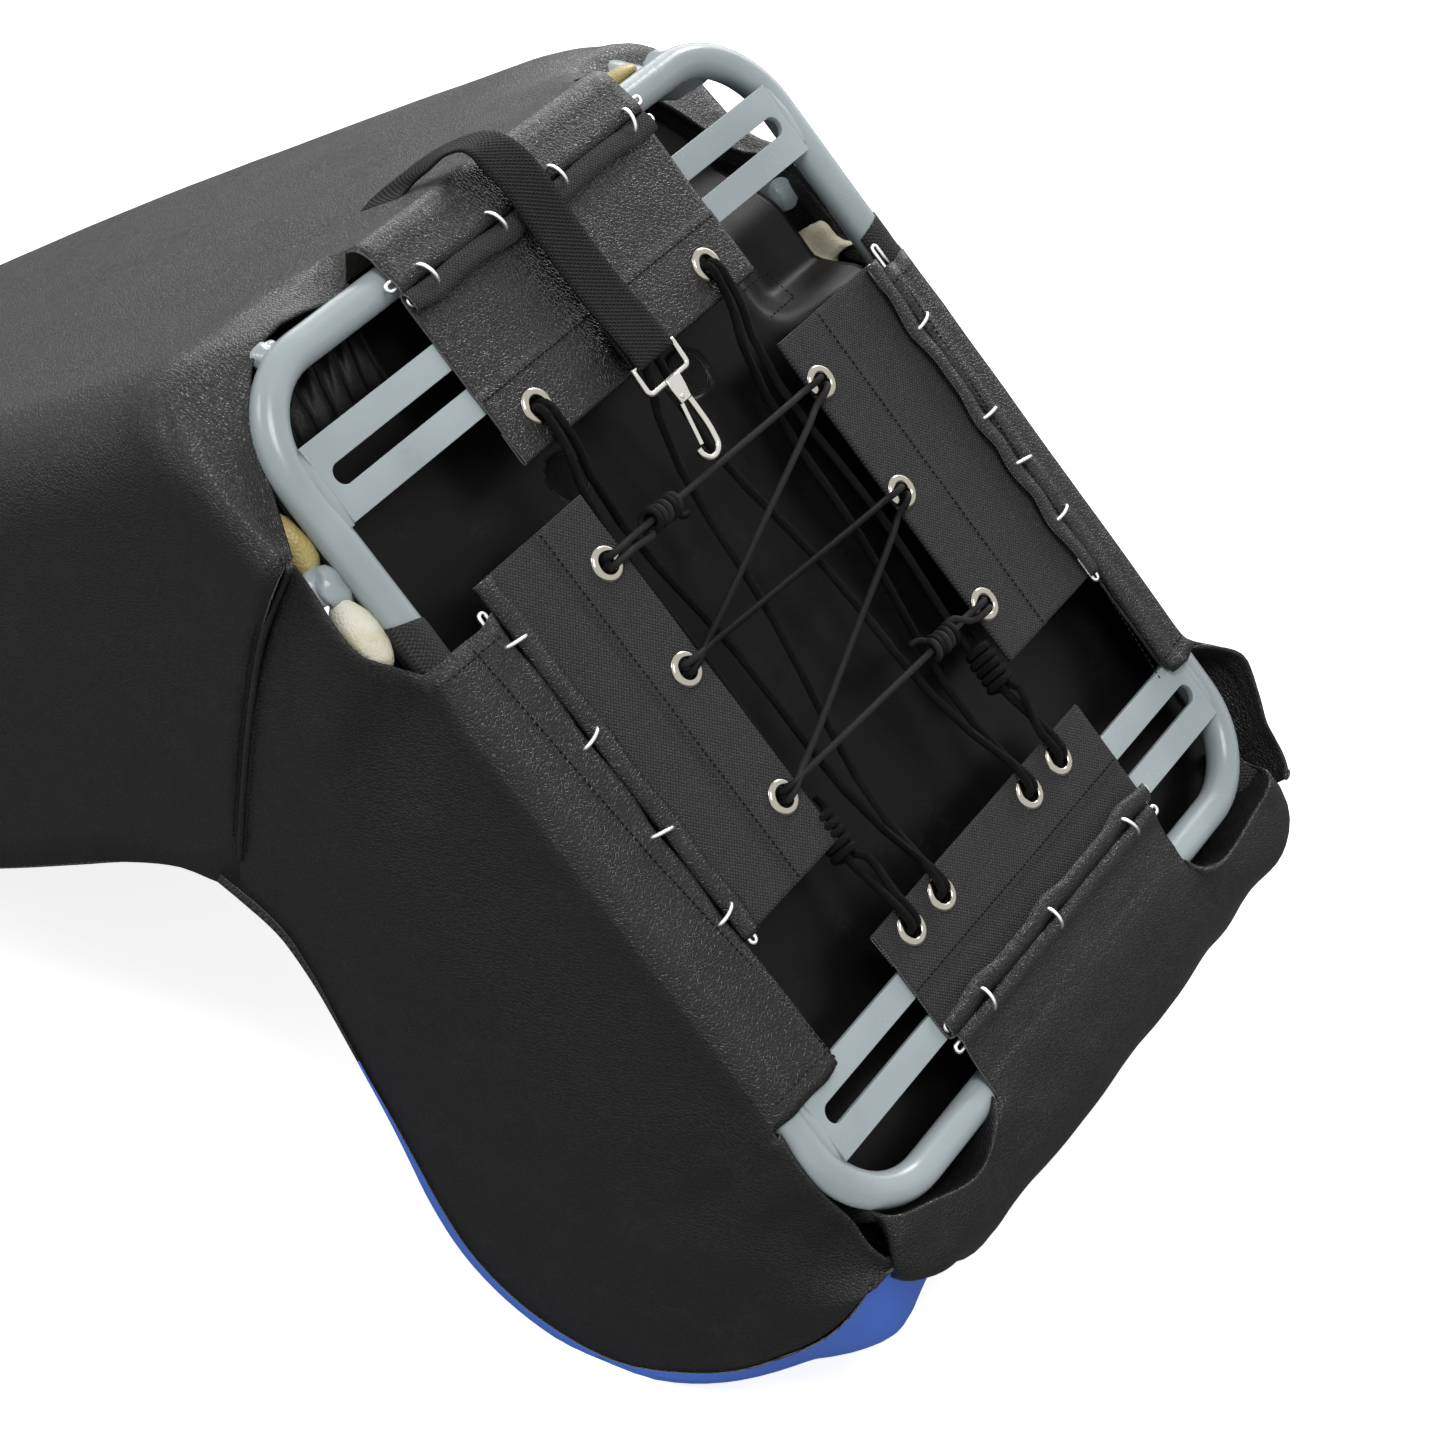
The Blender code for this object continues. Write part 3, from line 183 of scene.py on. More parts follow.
def smooth_line(points, steps):
    """A smooth line through the points, with the same number of steps in every span."""
    points = [Vector(p) for p in points]
    last = len(points) - 1
    spans = [max((b - a).length, 1e-6) for a, b in zip(points, points[1:])]
    slopes = [(b - a) / s for a, b, s in zip(points, points[1:], spans)]
    tangents = [slopes[0]]
    for i in range(1, last):
        tangents.append((slopes[i - 1] * spans[i] + slopes[i] * spans[i - 1]) / (spans[i - 1] + spans[i]))
    tangents.append(slopes[-1])
    line = []
    for i in range(last):
        for k in range(steps):
            t = k / steps
            a = points[i] * (1 + 2 * t) * (1 - t) ** 2 + tangents[i] * spans[i] * t * (1 - t) ** 2
            b = points[i + 1] * t * t * (3 - 2 * t) + tangents[i + 1] * spans[i] * t * t * (t - 1)
            line.append(a + b)
    return line + [points[-1]]


def lengths(line):
    total = [0.0]
    for a, b in zip(line, line[1:]):
        total.append(total[-1] + (b - a).length)
    return total


def along_line(line, goals):
    """Points at rising lengths along a line, each with the number of its span."""
    run = lengths(line)
    k = 0
    spots = []
    for goal in goals:
        while k < len(run) - 2 and run[k + 1] < goal:
            k += 1
        part = (goal - run[k]) / max(run[k + 1] - run[k], 1e-9)
        spots.append((mix(line[k], line[k + 1], part), k))
    return spots


def between(keys, place):
    """The value at a place among (place, value) keys; beyond their ends it stays the same."""
    for (p0, v0), (p1, v1) in zip(keys, keys[1:]):
        if place <= p1:
            return v0 + (v1 - v0) * max(0.0, place - p0) / (p1 - p0)
    return keys[-1][1]


def half_mm(width):
    """Half of a width that is given in metres, in millimetres."""
    return width * 500


def back_point(along, forward, across):
    """A point of the back: along it from the base, forward of its rear face, and across, with the taper."""
    taper = 1 - TAPER * ease((along - TAPER_START) / TAPER_RUN)
    x = BACK_X - along * math.sin(RECLINE) + forward * math.cos(RECLINE)
    z = -along * math.cos(RECLINE) - forward * math.sin(RECLINE)
    return Vector((x, across * taper, z))


def back_coords(x, z):
    dx = x - BACK_X
    return (-dx * math.sin(RECLINE) - z * math.cos(RECLINE), dx * math.cos(RECLINE) - z * math.sin(RECLINE))


def side_place(side_name):
    """Turns (inward from the tube axis, z, along the side) into a seat point."""
    def place(inward, z, along):
        if side_name == "rear":
            return Vector((inward - HALF_LENGTH, along, z))
        if side_name == "front":
            return Vector((HALF_LENGTH - inward, along, z))
        if side_name == "left":
            return Vector((along, inward - HALF_WIDTH, z))
        return Vector((along, HALF_WIDTH - inward, z))
    return place


# Meshes and pieces
def cover_grid(columns, keep=None):
    """A sheet through columns of points, with its lengths as UV; keep says which of its squares stay."""
    across = len(columns) - 1
    down = len(columns[0]) - 1
    bm = bmesh.new()
    uv = bm.loops.layers.uv.new("cloth")
    bmesh.ops.create_grid(bm, x_segments=across, y_segments=down, size=1.0)
    spot = {}
    for vert in bm.verts:
        spot[vert] = (round((vert.co.x + 1) / 2 * across), round((vert.co.y + 1) / 2 * down))
    for vert, (i, j) in spot.items():
        vert.co = columns[i][j]
    middle = lengths([Vector(column[down // 2]) for column in columns])
    drops = [lengths([Vector(p) for p in column]) for column in columns]
    for face in bm.faces:
        for loop in face.loops:
            i, j = spot[loop.vert]
            loop[uv].uv = (middle[i] * 0.001, drops[i][j] * 0.001)
    if keep:
        away = []
        for face in bm.faces:
            i = sum(spot[v][0] for v in face.verts) / 4
            j = sum(spot[v][1] for v in face.verts) / 4
            if not keep(i, j):
                away.append(face)
        bmesh.ops.delete(bm, geom=away, context="FACES")
    return bm


def face_away(bm, inside):
    """Turns the sheet so that its faces look away from a point inside the seat."""
    inside = Vector(inside)
    bm.normal_update()
    total = sum((f.calc_center_median() - inside).normalized().dot(f.normal) * f.calc_area()
                for f in bm.faces)
    if total < 0:
        bmesh.ops.reverse_faces(bm, faces=bm.faces)
    bm.normal_update()


def ruffle(bm, amount, scale, seed=0.0, where=None):
    """Soft unevenness along the normals, fading out towards the edges of the sheet."""
    bm.normal_update()
    bm.verts.index_update()
    shift = Vector((seed, seed * 0.7, seed * 1.3))
    hold = [0.0 if vert.is_boundary else 1.0 for vert in bm.verts]
    for step in (0.3, 0.6, 0.85):
        held = [min(hold[edge.other_vert(vert).index] for edge in vert.link_edges) for vert in bm.verts]
        hold = [step if mine == 1.0 and least < 1.0 else mine for mine, least in zip(hold, held)]
    moves = []
    for vert in bm.verts:
        weight = hold[vert.index] * (where(vert.co) if where else 1.0)
        moves.append(vert.normal * amount * weight * noise.noise(vert.co / scale + shift))
    for vert, move in zip(bm.verts, moves):
        vert.co += move


def crease(bm, lines):
    """Raises soft folds along straight lines given as (start, end, height, width)."""
    bm.normal_update()
    moves = []
    for vert in bm.verts:
        rise = 0.0
        for start, end, height, width in lines:
            run = Vector(end) - Vector(start)
            part = min(1.0, max(0.0, (vert.co - Vector(start)).dot(run) / run.length_squared))
            away = (vert.co - Vector(start) - run * part).length
            rise += height * math.exp(-((away / width) ** 2)) * math.sin(math.pi * min(1.0, part * 0.8 + 0.2))
        moves.append(vert.normal * rise)
    for vert, move in zip(bm.verts, moves):
        vert.co += move


def sheet_area(bm):
    return sum(f.calc_area() for f in bm.faces) * 1e-6


def new_object(name, data):
    obj = bpy.data.objects.new(name, data)
    bpy.context.scene.collection.objects.link(obj)
    return obj


def new_mesh(name, bm):
    """A mesh made of a bmesh, which is freed."""
    mesh = bpy.data.meshes.new(name)
    bm.to_mesh(mesh)
    bm.free()
    return mesh


def shown_bmesh(holder):
    """What an object shows with its modifiers, as a bmesh; the object is removed."""
    bpy.context.view_layer.update()
    evaluated = holder.evaluated_get(bpy.context.evaluated_depsgraph_get())
    raw = bpy.data.meshes.new_from_object(evaluated)
    bpy.data.objects.remove(holder, do_unlink=True)
    bm = bmesh.new()
    bm.from_mesh(raw)
    bpy.data.meshes.remove(raw)
    return bm


def curve_bmesh(curve):
    """A curve's surface as a closed bmesh; the curve is removed."""
    bm = shown_bmesh(new_object(curve.name, curve))
    bpy.data.curves.remove(curve)
    bmesh.ops.remove_doubles(bm, verts=bm.verts, dist=0.002)
    bmesh.ops.recalc_face_normals(bm, faces=bm.faces)
    return bm


def add_splines(curve, paths, cyclic):
    for path in paths:
        spline = curve.splines.new("POLY")
        spline.points.add(len(path) - 1)
        for slot, point in zip(spline.points, path):
            slot.co = (*point, 1.0)
        spline.use_cyclic_u = cyclic


def rod(paths, radius, cyclic=False, sides=16):
    """Round rods along the paths, as one bmesh with the curve's own UV."""
    curve = bpy.data.curves.new("rod", "CURVE")
    curve.dimensions = "3D"
    curve.bevel_depth = radius
    curve.bevel_resolution = (sides - 4) // 2
    curve.use_fill_caps = True
    add_splines(curve, paths, cyclic)
    return curve_bmesh(curve)


def flat_plate(outlines, thickness, round_off):
    """A flat plate with rounded edges from closed outlines; the inner ones are holes. Its top is at z 0."""
    curve = bpy.data.curves.new("plate", "CURVE")
    curve.dimensions = "2D"
    curve.fill_mode = "BOTH"
    curve.extrude = thickness / 2 - round_off
    curve.bevel_depth = round_off
    curve.bevel_resolution = 2
    curve.offset = -round_off
    add_splines(curve, [[(a, b, 0.0) for a, b in outline] for outline in outlines], True)
    bm = curve_bmesh(curve)
    bmesh.ops.translate(bm, verts=bm.verts, vec=(0.0, 0.0, -thickness / 2))
    return bm


def add_to(bm, other):
    """Adds the faces of another bmesh, which is freed."""
    mesh = new_mesh("joined", other)
    bm.from_mesh(mesh)
    bpy.data.meshes.remove(mesh)


def finish_piece(name, bm, material, nodes=(), slot=None, body="seat", matrix=SEAT, thickness=0.0,
                 angle=None):
    """Lays the mesh into the row frame and makes it a piece that rides on its body."""
    bm.transform(matrix)
    mesh = new_mesh(name, bm)
    mesh.materials.append(material)
    mesh.shade_smooth()
    if angle:
        mesh.set_sharp_from_angle(angle=math.radians(angle))
    obj = new_object(name, mesh)
    if thickness:
        thick = obj.modifiers.new("thickness", "SOLIDIFY")
        thick.thickness = thickness
        thick.offset = -1.0
    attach(obj, body)
    if nodes:
        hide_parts(*nodes)
    return obj


def lump(bm, centre, size, rough=0.12, seed=0.0):
    """A rounded lump, such as a blob of weld."""
    made = bmesh.ops.create_icosphere(bm, subdivisions=3, radius=1.0)
    for vert in made["verts"]:
        swell = 1.0 + rough * noise.noise(vert.co * 1.7 + Vector((seed, seed, seed)))
        stretched = Vector((vert.co.x * size[0], vert.co.y * size[1], vert.co.z * size[2]))
        vert.co = Vector(centre) + stretched * swell


def stitch_line(bm, line, pitch, width=1.0, height=0.7, gap=0.25):
    """A row of stitches along a line of (point, normal), each a copy of one small bead."""
    bead = bmesh.new()
    bmesh.ops.create_uvsphere(bead, u_segments=6, v_segments=4, radius=1.0)
    bead.verts.index_update()
    corners = [v.co.copy() for v in bead.verts]
    faces = [[v.index for v in f.verts] for f in bead.faces]
    bead.free()
    points = [p for p, n in line]
    total = lengths(points)[-1]
    count = max(1, int(total / pitch))
    length = total / count * (1 - gap)
    for spot, k in along_line(points, [total * (i + 0.5) / count for i in range(count)]):
        ahead = (points[k + 1] - points[k]).normalized()
        up = line[k][1].normalized()
        side = up.cross(ahead).normalized()
        up = ahead.cross(side)
        turn = Matrix((ahead * length / 2, side * width / 2, up * height / 2)).transposed()
        verts = [bm.verts.new(spot + turn @ corner) for corner in corners]
        for face in faces:
            bm.faces.new([verts[n] for n in face])


# Slack of the cover: its far rear corner hangs, and the far side cover flares at its front. A range is
# the place where the slack begins and the length over which it grows.
SAG_HEM, SAG_CORNER = 30.0, 26.0
SAG_HEM_RANGE, SAG_CORNER_RANGE = (98.0, 25.0), (150.0, 50.0)
SAG_ACROSS, SAG_HEIGHT = (118.0, 48.0), (-130.0, 112.0)
FLARE_OUT, FLARE_UP = 26.0, 10.0
FLARE_ALONG, FLARE_HEIGHT = (170.0, 38.0), (-80.0, 66.0)
FLARE_PEAK, FLARE_TAPER = 215.0, 0.1
REACH = (10.0, 7.0, 3.0)
REACH_ACROSS, REACH_HEIGHT = (135.0, 60.0), (-62.0, 52.0)


def share_of(value, start, length):
    """How far a value has gone through a range."""
    return (value - start) / length


def sag(point):
    """How far the slack far rear corner of the cover hangs down at a point."""
    hem = SAG_HEM * ease(share_of(-point.x, *SAG_HEM_RANGE))
    along = hem + SAG_CORNER * ease(share_of(-point.x, *SAG_CORNER_RANGE))
    across = ease(share_of(point.y, *SAG_ACROSS))
    depth = min(1.0, max(0.0, share_of(point.z, *SAG_HEIGHT)))
    return along * across * depth ** 1.5


def hang(bm):
    """Lets a sheet hang down at the slack corner."""
    for vert in bm.verts:
        vert.co.z -= sag(vert.co)


def flare(bm):
    """Opens the far side cover outward beside its hem's front end."""
    for vert in bm.verts:
        share = ease(share_of(vert.co.x, *FLARE_ALONG)) * ease(share_of(vert.co.z, *FLARE_HEIGHT))
        vert.co.y += (FLARE_OUT - FLARE_TAPER * max(0.0, vert.co.x - FLARE_PEAK)) * share
        vert.co.z += FLARE_UP * share


def reach(bm):
    """Draws the far end of the front cover forward and outward to the flared side cover."""
    for vert in bm.verts:
        share = ease(share_of(vert.co.y, *REACH_ACROSS)) * ease(share_of(vert.co.z, *REACH_HEIGHT))
        vert.co.x += REACH[0] * share
        vert.co.y += REACH[1] * share
        vert.co.z += REACH[2] * share


# Shader groups and materials
def node(tree, kind, inputs=None, **settings):
    """A shader node with its settings and its inputs, each a value or another node's socket."""
    made = tree.nodes.new(kind)
    for key, value in settings.items():
        setattr(made, key, value)
    for key, value in (inputs or {}).items():
        if isinstance(value, bpy.types.NodeSocket):
            tree.links.new(value, made.inputs[key])
        else:
            made.inputs[key].default_value = value
    return made


def math_node(tree, operation, first, second=None):
    inputs = {0: first} if second is None else {0: first, 1: second}
    return node(tree, "ShaderNodeMath", inputs, operation=operation).outputs[0]


def ranged(tree, value, low, high, to_low=0.0, to_high=1.0):
    """Value stretched from one range to another, smoothly and without running over."""
    inputs = {"Value": value, "From Min": low, "From Max": high, "To Min": to_low, "To Max": to_high}
    return node(tree, "ShaderNodeMapRange", inputs, interpolation_type="SMOOTHSTEP").outputs["Result"]


def mixed(tree, factor, first, second):
    """Two colours mixed by a factor."""
    return node(tree, "ShaderNodeMix", {0: factor, 6: first, 7: second}, data_type="RGBA").outputs[2]


def clouds(tree, vector, scale, detail, **more):
    """The value of a noise texture."""
    inputs = {"Vector": vector, "Scale": scale, "Detail": detail, **more}
    return node(tree, "ShaderNodeTexNoise", inputs).outputs["Fac"]


def axes(tree, kind="Object"):
    """Object coordinates, or the piece's own UV."""
    return node(tree, "ShaderNodeTexCoord").outputs[kind]


def tint(colour, factor=1.0, lift=0.0):
    """A colour made paler or deeper, with its alpha."""
    return (*(min(1.0, c * factor + lift) for c in colour), 1.0)


def new_group(name, values, results):
    """An empty shader group: a vector and values with their defaults go in, results come out."""
    group = bpy.data.node_groups.new(name, "ShaderNodeTree")
    group.interface.new_socket("Vector", in_out="INPUT", socket_type="NodeSocketVector")
    for label, default in values.items():
        socket = group.interface.new_socket(label, in_out="INPUT", socket_type="NodeSocketFloat")
        socket.default_value = default
    for label in results:
        group.interface.new_socket(label, in_out="OUTPUT", socket_type="NodeSocketFloat")
    return group, group.nodes.new("NodeGroupInput").outputs, group.nodes.new("NodeGroupOutput").inputs


def make_grain_group():
    """Pebbled grain of vinyl: its height, and uneven patches for the gloss."""
    group, start, end = new_group("vinyl_grain", {"Scale": 900.0}, ("Height", "Patches"))
    drift = node(group, "ShaderNodeTexNoise", {"Vector": start["Vector"], "Scale": 260.0, "Detail": 2.0})
    push = node(group, "ShaderNodeVectorMath", {0: drift.outputs["Color"], 1: (0.0014, 0.0014, 0.0014)},
                operation="MULTIPLY")
    moved = node(group, "ShaderNodeVectorMath", {0: start["Vector"], 1: push.outputs[0]}, operation="ADD")
    cells = node(group, "ShaderNodeTexVoronoi", {"Vector": moved.outputs[0], "Scale": start["Scale"]},
                 feature="DISTANCE_TO_EDGE")
    group.links.new(ranged(group, cells.outputs["Distance"], 0.0, 0.22), end["Height"])
    group.links.new(clouds(group, start["Vector"], 14.0, 4.0), end["Patches"])
    return group


def make_weave_group():
    """Plain weave in the plane of its vector: height of the threads, and the gaps between them."""
    group, start, end = new_group("cloth_weave", {"Threads": 1000.0}, ("Height", "Gaps"))
    parts = node(group, "ShaderNodeSeparateXYZ", {0: start["Vector"]})
    turns = math_node(group, "MULTIPLY", start["Threads"], math.pi)
    warp = math_node(group, "SINE", math_node(group, "MULTIPLY", parts.outputs[0], turns))
    weft = math_node(group, "SINE", math_node(group, "MULTIPLY", parts.outputs[1], turns))
    crossing = math_node(group, "MULTIPLY", warp, weft)
    height = math_node(group, "ABSOLUTE", crossing)
    side = ranged(group, crossing, -0.1, 0.1, 0.55, 1.0)
    group.links.new(math_node(group, "MULTIPLY", height, side), end["Height"])
    group.links.new(ranged(group, height, 0.0, 0.35, 1.0, 0.0), end["Gaps"])
    return group


def make_braid_group():
    """Braid or ribs that follow a cord's own UV: lengthways count and turns round it."""
    group, start, end = new_group("cord_braid", {"Along": 300.0, "Around": 4.0}, ("Height",))
    parts = node(group, "ShaderNodeSeparateXYZ", {0: start["Vector"]})
    around = math_node(group, "MULTIPLY", parts.outputs[0], start["Around"])
    along = math_node(group, "MULTIPLY", parts.outputs[1], start["Along"])
    waves = []
    for operation in ("ADD", "SUBTRACT"):
        turns = math_node(group, operation, along, around)
        waves.append(math_node(group, "SINE", math_node(group, "MULTIPLY", turns, math.tau)))
    group.links.new(math_node(group, "MAXIMUM", *waves), end["Height"])
    return group


def make_scuff_group():
    """Scuffs and dust: a mask of streaks and spots."""
    group, start, end = new_group("scuffs", {"Scale": 30.0}, ("Mask",))
    broad = clouds(group, start["Vector"], start["Scale"], 6.0, Roughness=0.65)
    fine = clouds(group, start["Vector"], 420.0, 2.0)
    both = math_node(group, "MULTIPLY", ranged(group, broad, 0.5, 0.75), ranged(group, fine, 0.35, 0.7))
    group.links.new(both, end["Mask"])
    return group


def place_group(tree, group, inputs):
    return node(tree, "ShaderNodeGroup", inputs, node_tree=group).outputs


def made_once(build):
    """Makes a finish at its first use and keeps it by its name."""
    def finish(self, name, *values, **more):
        if name not in self.made:
            self.made[name] = build(self, name, *values, **more)
        return self.made[name]
    return finish


class Finishes:
    """The finishes of the seat, each made once."""

    def __init__(self):
        self.made = {}
        self.grain = make_grain_group()
        self.weave = make_weave_group()
        self.braid = make_braid_group()
        self.scuffs = make_scuff_group()

    def start(self, name, roughness, metallic=0.0, **sockets):
        material = bpy.data.materials.new(name)
        material.use_nodes = True
        shader = material.node_tree.nodes["Principled BSDF"]
        shader.inputs["Roughness"].default_value = roughness
        shader.inputs["Metallic"].default_value = metallic
        for key, value in sockets.items():
            shader.inputs[key].default_value = value
        return material, material.node_tree, shader.inputs

    def bump(self, tree, shader, height, strength, distance):
        made = node(tree, "ShaderNodeBump", {"Height": height, "Strength": strength, "Distance": distance})
        tree.links.new(made.outputs["Normal"], shader["Normal"])

    def scuffed(self, tree, where, scale):
        """Mask of the scuffs."""
        return place_group(tree, self.scuffs, {"Vector": where, "Scale": scale})["Mask"]

    @made_once
    def vinyl(self, name, colour, pebble, roughness, light=1.9, shine=0.36):
        """Vinyl with pebbled grain, uneven gloss and dusty scuffs."""
        material, tree, shader = self.start(name, roughness, **{"Specular IOR Level": shine})
        where = axes(tree)
        grain = place_group(tree, self.grain, {"Vector": where, "Scale": 520.0})
        wrinkle = math_node(tree, "MULTIPLY", clouds(tree, where, 75.0, 5.0, Distortion=1.6), 1.2)
        dust = math_node(tree, "MULTIPLY", self.scuffed(tree, where, 38.0), 0.5)
        tone = mixed(tree, dust, tint(colour), tint(colour, light, 0.012))
        tree.links.new(tone, shader["Base Color"])
        gloss = ranged(tree, grain["Patches"], 0.3, 0.7, roughness - 0.05, roughness + 0.06)
        tree.links.new(gloss, shader["Roughness"])
        self.bump(tree, shader, math_node(tree, "ADD", grain["Height"], wrinkle), pebble, 0.0006)
        return material

    @made_once
    def woven(self, name, colour, threads):
        """Woven backing cloth, along the seat's own axes turned by an eighth."""
        material, tree, shader = self.start(name, 0.75, **{"Specular IOR Level": 0.2})
        lying = node(tree, "ShaderNodeMapping", {"Vector": axes(tree), "Rotation": (0.0, -SEAT_TILT, 0.0)})
        where = lying.outputs["Vector"]
        eighth = (0.0, 0.0, math.radians(45.0))
        turned = node(tree, "ShaderNodeMapping", {"Vector": where, "Rotation": eighth})
        weave = place_group(tree, self.weave, {"Vector": turned.outputs["Vector"], "Threads": threads})
        spots = ranged(tree, clouds(tree, where, 1500.0, 1.0), 0.5, 0.75)
        thread = mixed(tree, spots, tint(colour), tint(colour, 2.2))
        tree.links.new(mixed(tree, weave["Gaps"], thread, tint(colour, 0.2)), shader["Base Color"])
        self.bump(tree, shader, weave["Height"], 1.0, 0.0006)
        return material

    @made_once
    def paint(self, name, colour):
        """Sprayed paint with faint orange peel, dull rubbed patches and a few scratches."""
        material, tree, shader = self.start(name, 0.28)
        where = axes(tree)
        scuff = self.scuffed(tree, where, 22.0)
        cloud = ranged(tree, clouds(tree, where, 9.0, 3.0), 0.3, 0.7)
        tone = mixed(tree, cloud, tint(colour, 0.86), tint(colour, 1.12))
        rubbed = mixed(tree, math_node(tree, "MULTIPLY", scuff, 0.35), tone, (0.2, 0.22, 0.22, 1.0))
        tree.links.new(rubbed, shader["Base Color"])
        tree.links.new(ranged(tree, scuff, 0.0, 0.6, 0.24, 0.5), shader["Roughness"])
        self.bump(tree, shader, clouds(tree, where, 420.0, 2.0), 0.08, 0.0006)
        return material

    @made_once
    def foam(self, name, colour, roughness=0.95):
        """Open-cell foam, uneven in colour."""
        material, tree, shader = self.start(name, roughness)
        where = axes(tree)
        cells = node(tree, "ShaderNodeTexVoronoi", {"Vector": where, "Scale": 700.0})
        stain = ranged(tree, clouds(tree, where, 40.0, 4.0), 0.4, 0.7)
        deep = tint(c * share for c, share in zip(colour, (0.82, 0.76, 0.6)))
        tree.links.new(mixed(tree, stain, tint(colour), deep), shader["Base Color"])
        self.bump(tree, shader, cells.outputs["Distance"], 0.5, 0.0008)
        return material

    @made_once
    def metal(self, name, colour, roughness):
        """Plated metal with fine wear."""
        material, tree, shader = self.start(name, roughness, 1.0)
        where = axes(tree)
        scuff = self.scuffed(tree, where, 160.0)
        tree.links.new(mixed(tree, scuff, tint(colour), tint(colour, 0.72)), shader["Base Color"])
        tree.links.new(ranged(tree, scuff, 0.0, 0.5, roughness, roughness + 0.2), shader["Roughness"])
        self.bump(tree, shader, clouds(tree, where, 700.0, 2.0), 0.08, 0.0003)
        return material

    @made_once
    def cord(self, name, colour, along, around, depth):
        """Braided or ribbed cord, on the piece's own UV, with a painted highlight on the crests of its braid.
        """
        material, tree, shader = self.start(name, 0.62, **{"Specular IOR Level": 0.1})
        height = place_group(tree, self.braid, {"Vector": axes(tree, "UV"), "Along": along,
                                                "Around": around})["Height"]
        # Painted highlight: the crests of the braid are made paler than its hollows.
        crest_highlight = ranged(tree, height, 0.2, 1.0)
        tree.links.new(mixed(tree, crest_highlight, tint(colour), tint(colour, 3.0, 0.006)), shader["Base Color"])
        self.bump(tree, shader, height, 0.8, depth)
        return material


SHOP = {}


def finishes():
    if "finishes" not in SHOP:
        SHOP["finishes"] = Finishes()
    return SHOP["finishes"]


def cover_stack(settings, face="smooth"):
    """Black vinyl outside, its backing inside, and the raw edge between them."""
    shop = finishes()
    vinyl = shop.vinyl("black_vinyl", settings.vinyl, pebble=0.5, roughness=0.31)
    backing = shop.woven("woven_backing", settings.backing, threads=620.0)
    raw = shop.woven("raw_edge", (0.16, 0.16, 0.16), threads=900.0)
    return (backing, vinyl, raw) if face == "woven" else (vinyl, backing, raw)


def rest(bm):
    """Flattens what would lie under the floor."""
    to_seat = SEAT.inverted()
    for vert in bm.verts:
        spot = SEAT @ vert.co
        if spot.z < FLOOR_LIFT:
            spot.z = FLOOR_LIFT
            vert.co = to_seat @ spot


def lay_sheet(name, bm, stack, nodes, slot, thickness):
    """A sheet with its own thickness, backing and raw edge, stretched over what it rests on."""
    area = sheet_area(bm)
    rest(bm)
    obj = finish_piece(name, bm, stack[0], nodes, slot, thickness=thickness)
    for material in stack[1:]:
        obj.data.materials.append(material)
    obj.modifiers["thickness"].material_offset = 1
    obj.modifiers["thickness"].material_offset_rim = 2


def punch(bm, centre, radius):
    """Cuts a round hole through a sheet, seen along z."""
    spot = Vector((centre[0], centre[1]))
    away = [f for f in bm.faces if (f.calc_center_median().xy - spot).length < radius]
    bmesh.ops.delete(bm, geom=away, context="FACES")
    for edge in bm.edges:
        if not edge.is_boundary:
            continue
        for vert in edge.verts:
            offset = vert.co.xy - spot
            if radius * 0.4 < offset.length < radius * 1.5:
                vert.co.xy = spot + offset.normalized() * radius


# Frame
# Ends of the hoop's tube
NEAR_FOOT = ((-238, -189, -20), (-251, -194, -30))
FAR_FOOT = ((-252, 190, -62), (-244, 187, -42), (-243, 184, -19))
# Struts: height of the upper end, where along the back it meets the hoop and how far from the hoop's middle
# line, and its bends as x, how far inside its outer line, and z
STRUT_TOPS = {LEFT: -17, RIGHT: -58}
STRUT_ALONG = 305.0
STRUT_HEAD = (15.8, 12.0)
STRUT_BENDS = ((-174, 0, -115), (-206, 0, -175), (-263, 6, -245))
# Blobs of weld on the base tube: centre, size, roughness, seed
TUBE_WELDS = (((-257.5, -171, -13.5), (6, 9, 4.5), 0.35, 0.0), ((-257.5, 157, -13.5), (6, 9, 4.5), 0.35, 2.0),
              ((-154, -220, -17), (12, 8, 6), 0.3, 2.0))
BAR_WELD_Y = 200.5


def rounded_loop(half_x, half_y, radius, steps):
    run_x, run_y = half_x - radius, half_y - radius
    corners = ((run_x, run_y, 0), (-run_x, run_y, 90), (-run_x, -run_y, 180), (run_x, -run_y, 270))
    points = []
    for x, y, start in corners:
        points += arc((x, y), radius, start, start + 90, steps)
    return points


def hoop_path():
    leg = HOOP_TOP - HOOP_BEND - HOOP_FOOT
    rise = [HOOP_FOOT + leg * i / 30 for i in range(31)]
    left = [(along, -HOOP_Y) for along in rise[:-1]]
    turn_left = arc((HOOP_TOP - HOOP_BEND, HOOP_BEND - HOOP_Y), HOOP_BEND, -90, 0, 12)
    turn_right = arc((HOOP_TOP - HOOP_BEND, HOOP_Y - HOOP_BEND), HOOP_BEND, 0, 90, 12)
    right = [(along, HOOP_Y) for along in reversed(rise[:-1])]
    path = [back_point(along, HOOP_Q, across) for along, across in left + turn_left + turn_right + right]
    return [*NEAR_FOOT, *path[2:-4], *FAR_FOOT]


def strut_path(side, radius):
    outside = HALF_WIDTH + 2 * radius + 0.3
    leg = back_point(STRUT_ALONG, HOOP_Q, side * HOOP_Y)
    head = (leg.x + STRUT_HEAD[0], leg.y + side * STRUT_HEAD[1], leg.z)
    top = STRUT_TOPS[side]
    bends = ((-158, 2, top), (-160, 0, top - 20), *STRUT_BENDS)
    points = [(x, side * (outside - inset), z) for x, inset, z in bends]
    return smooth_line([*points, head], 6)


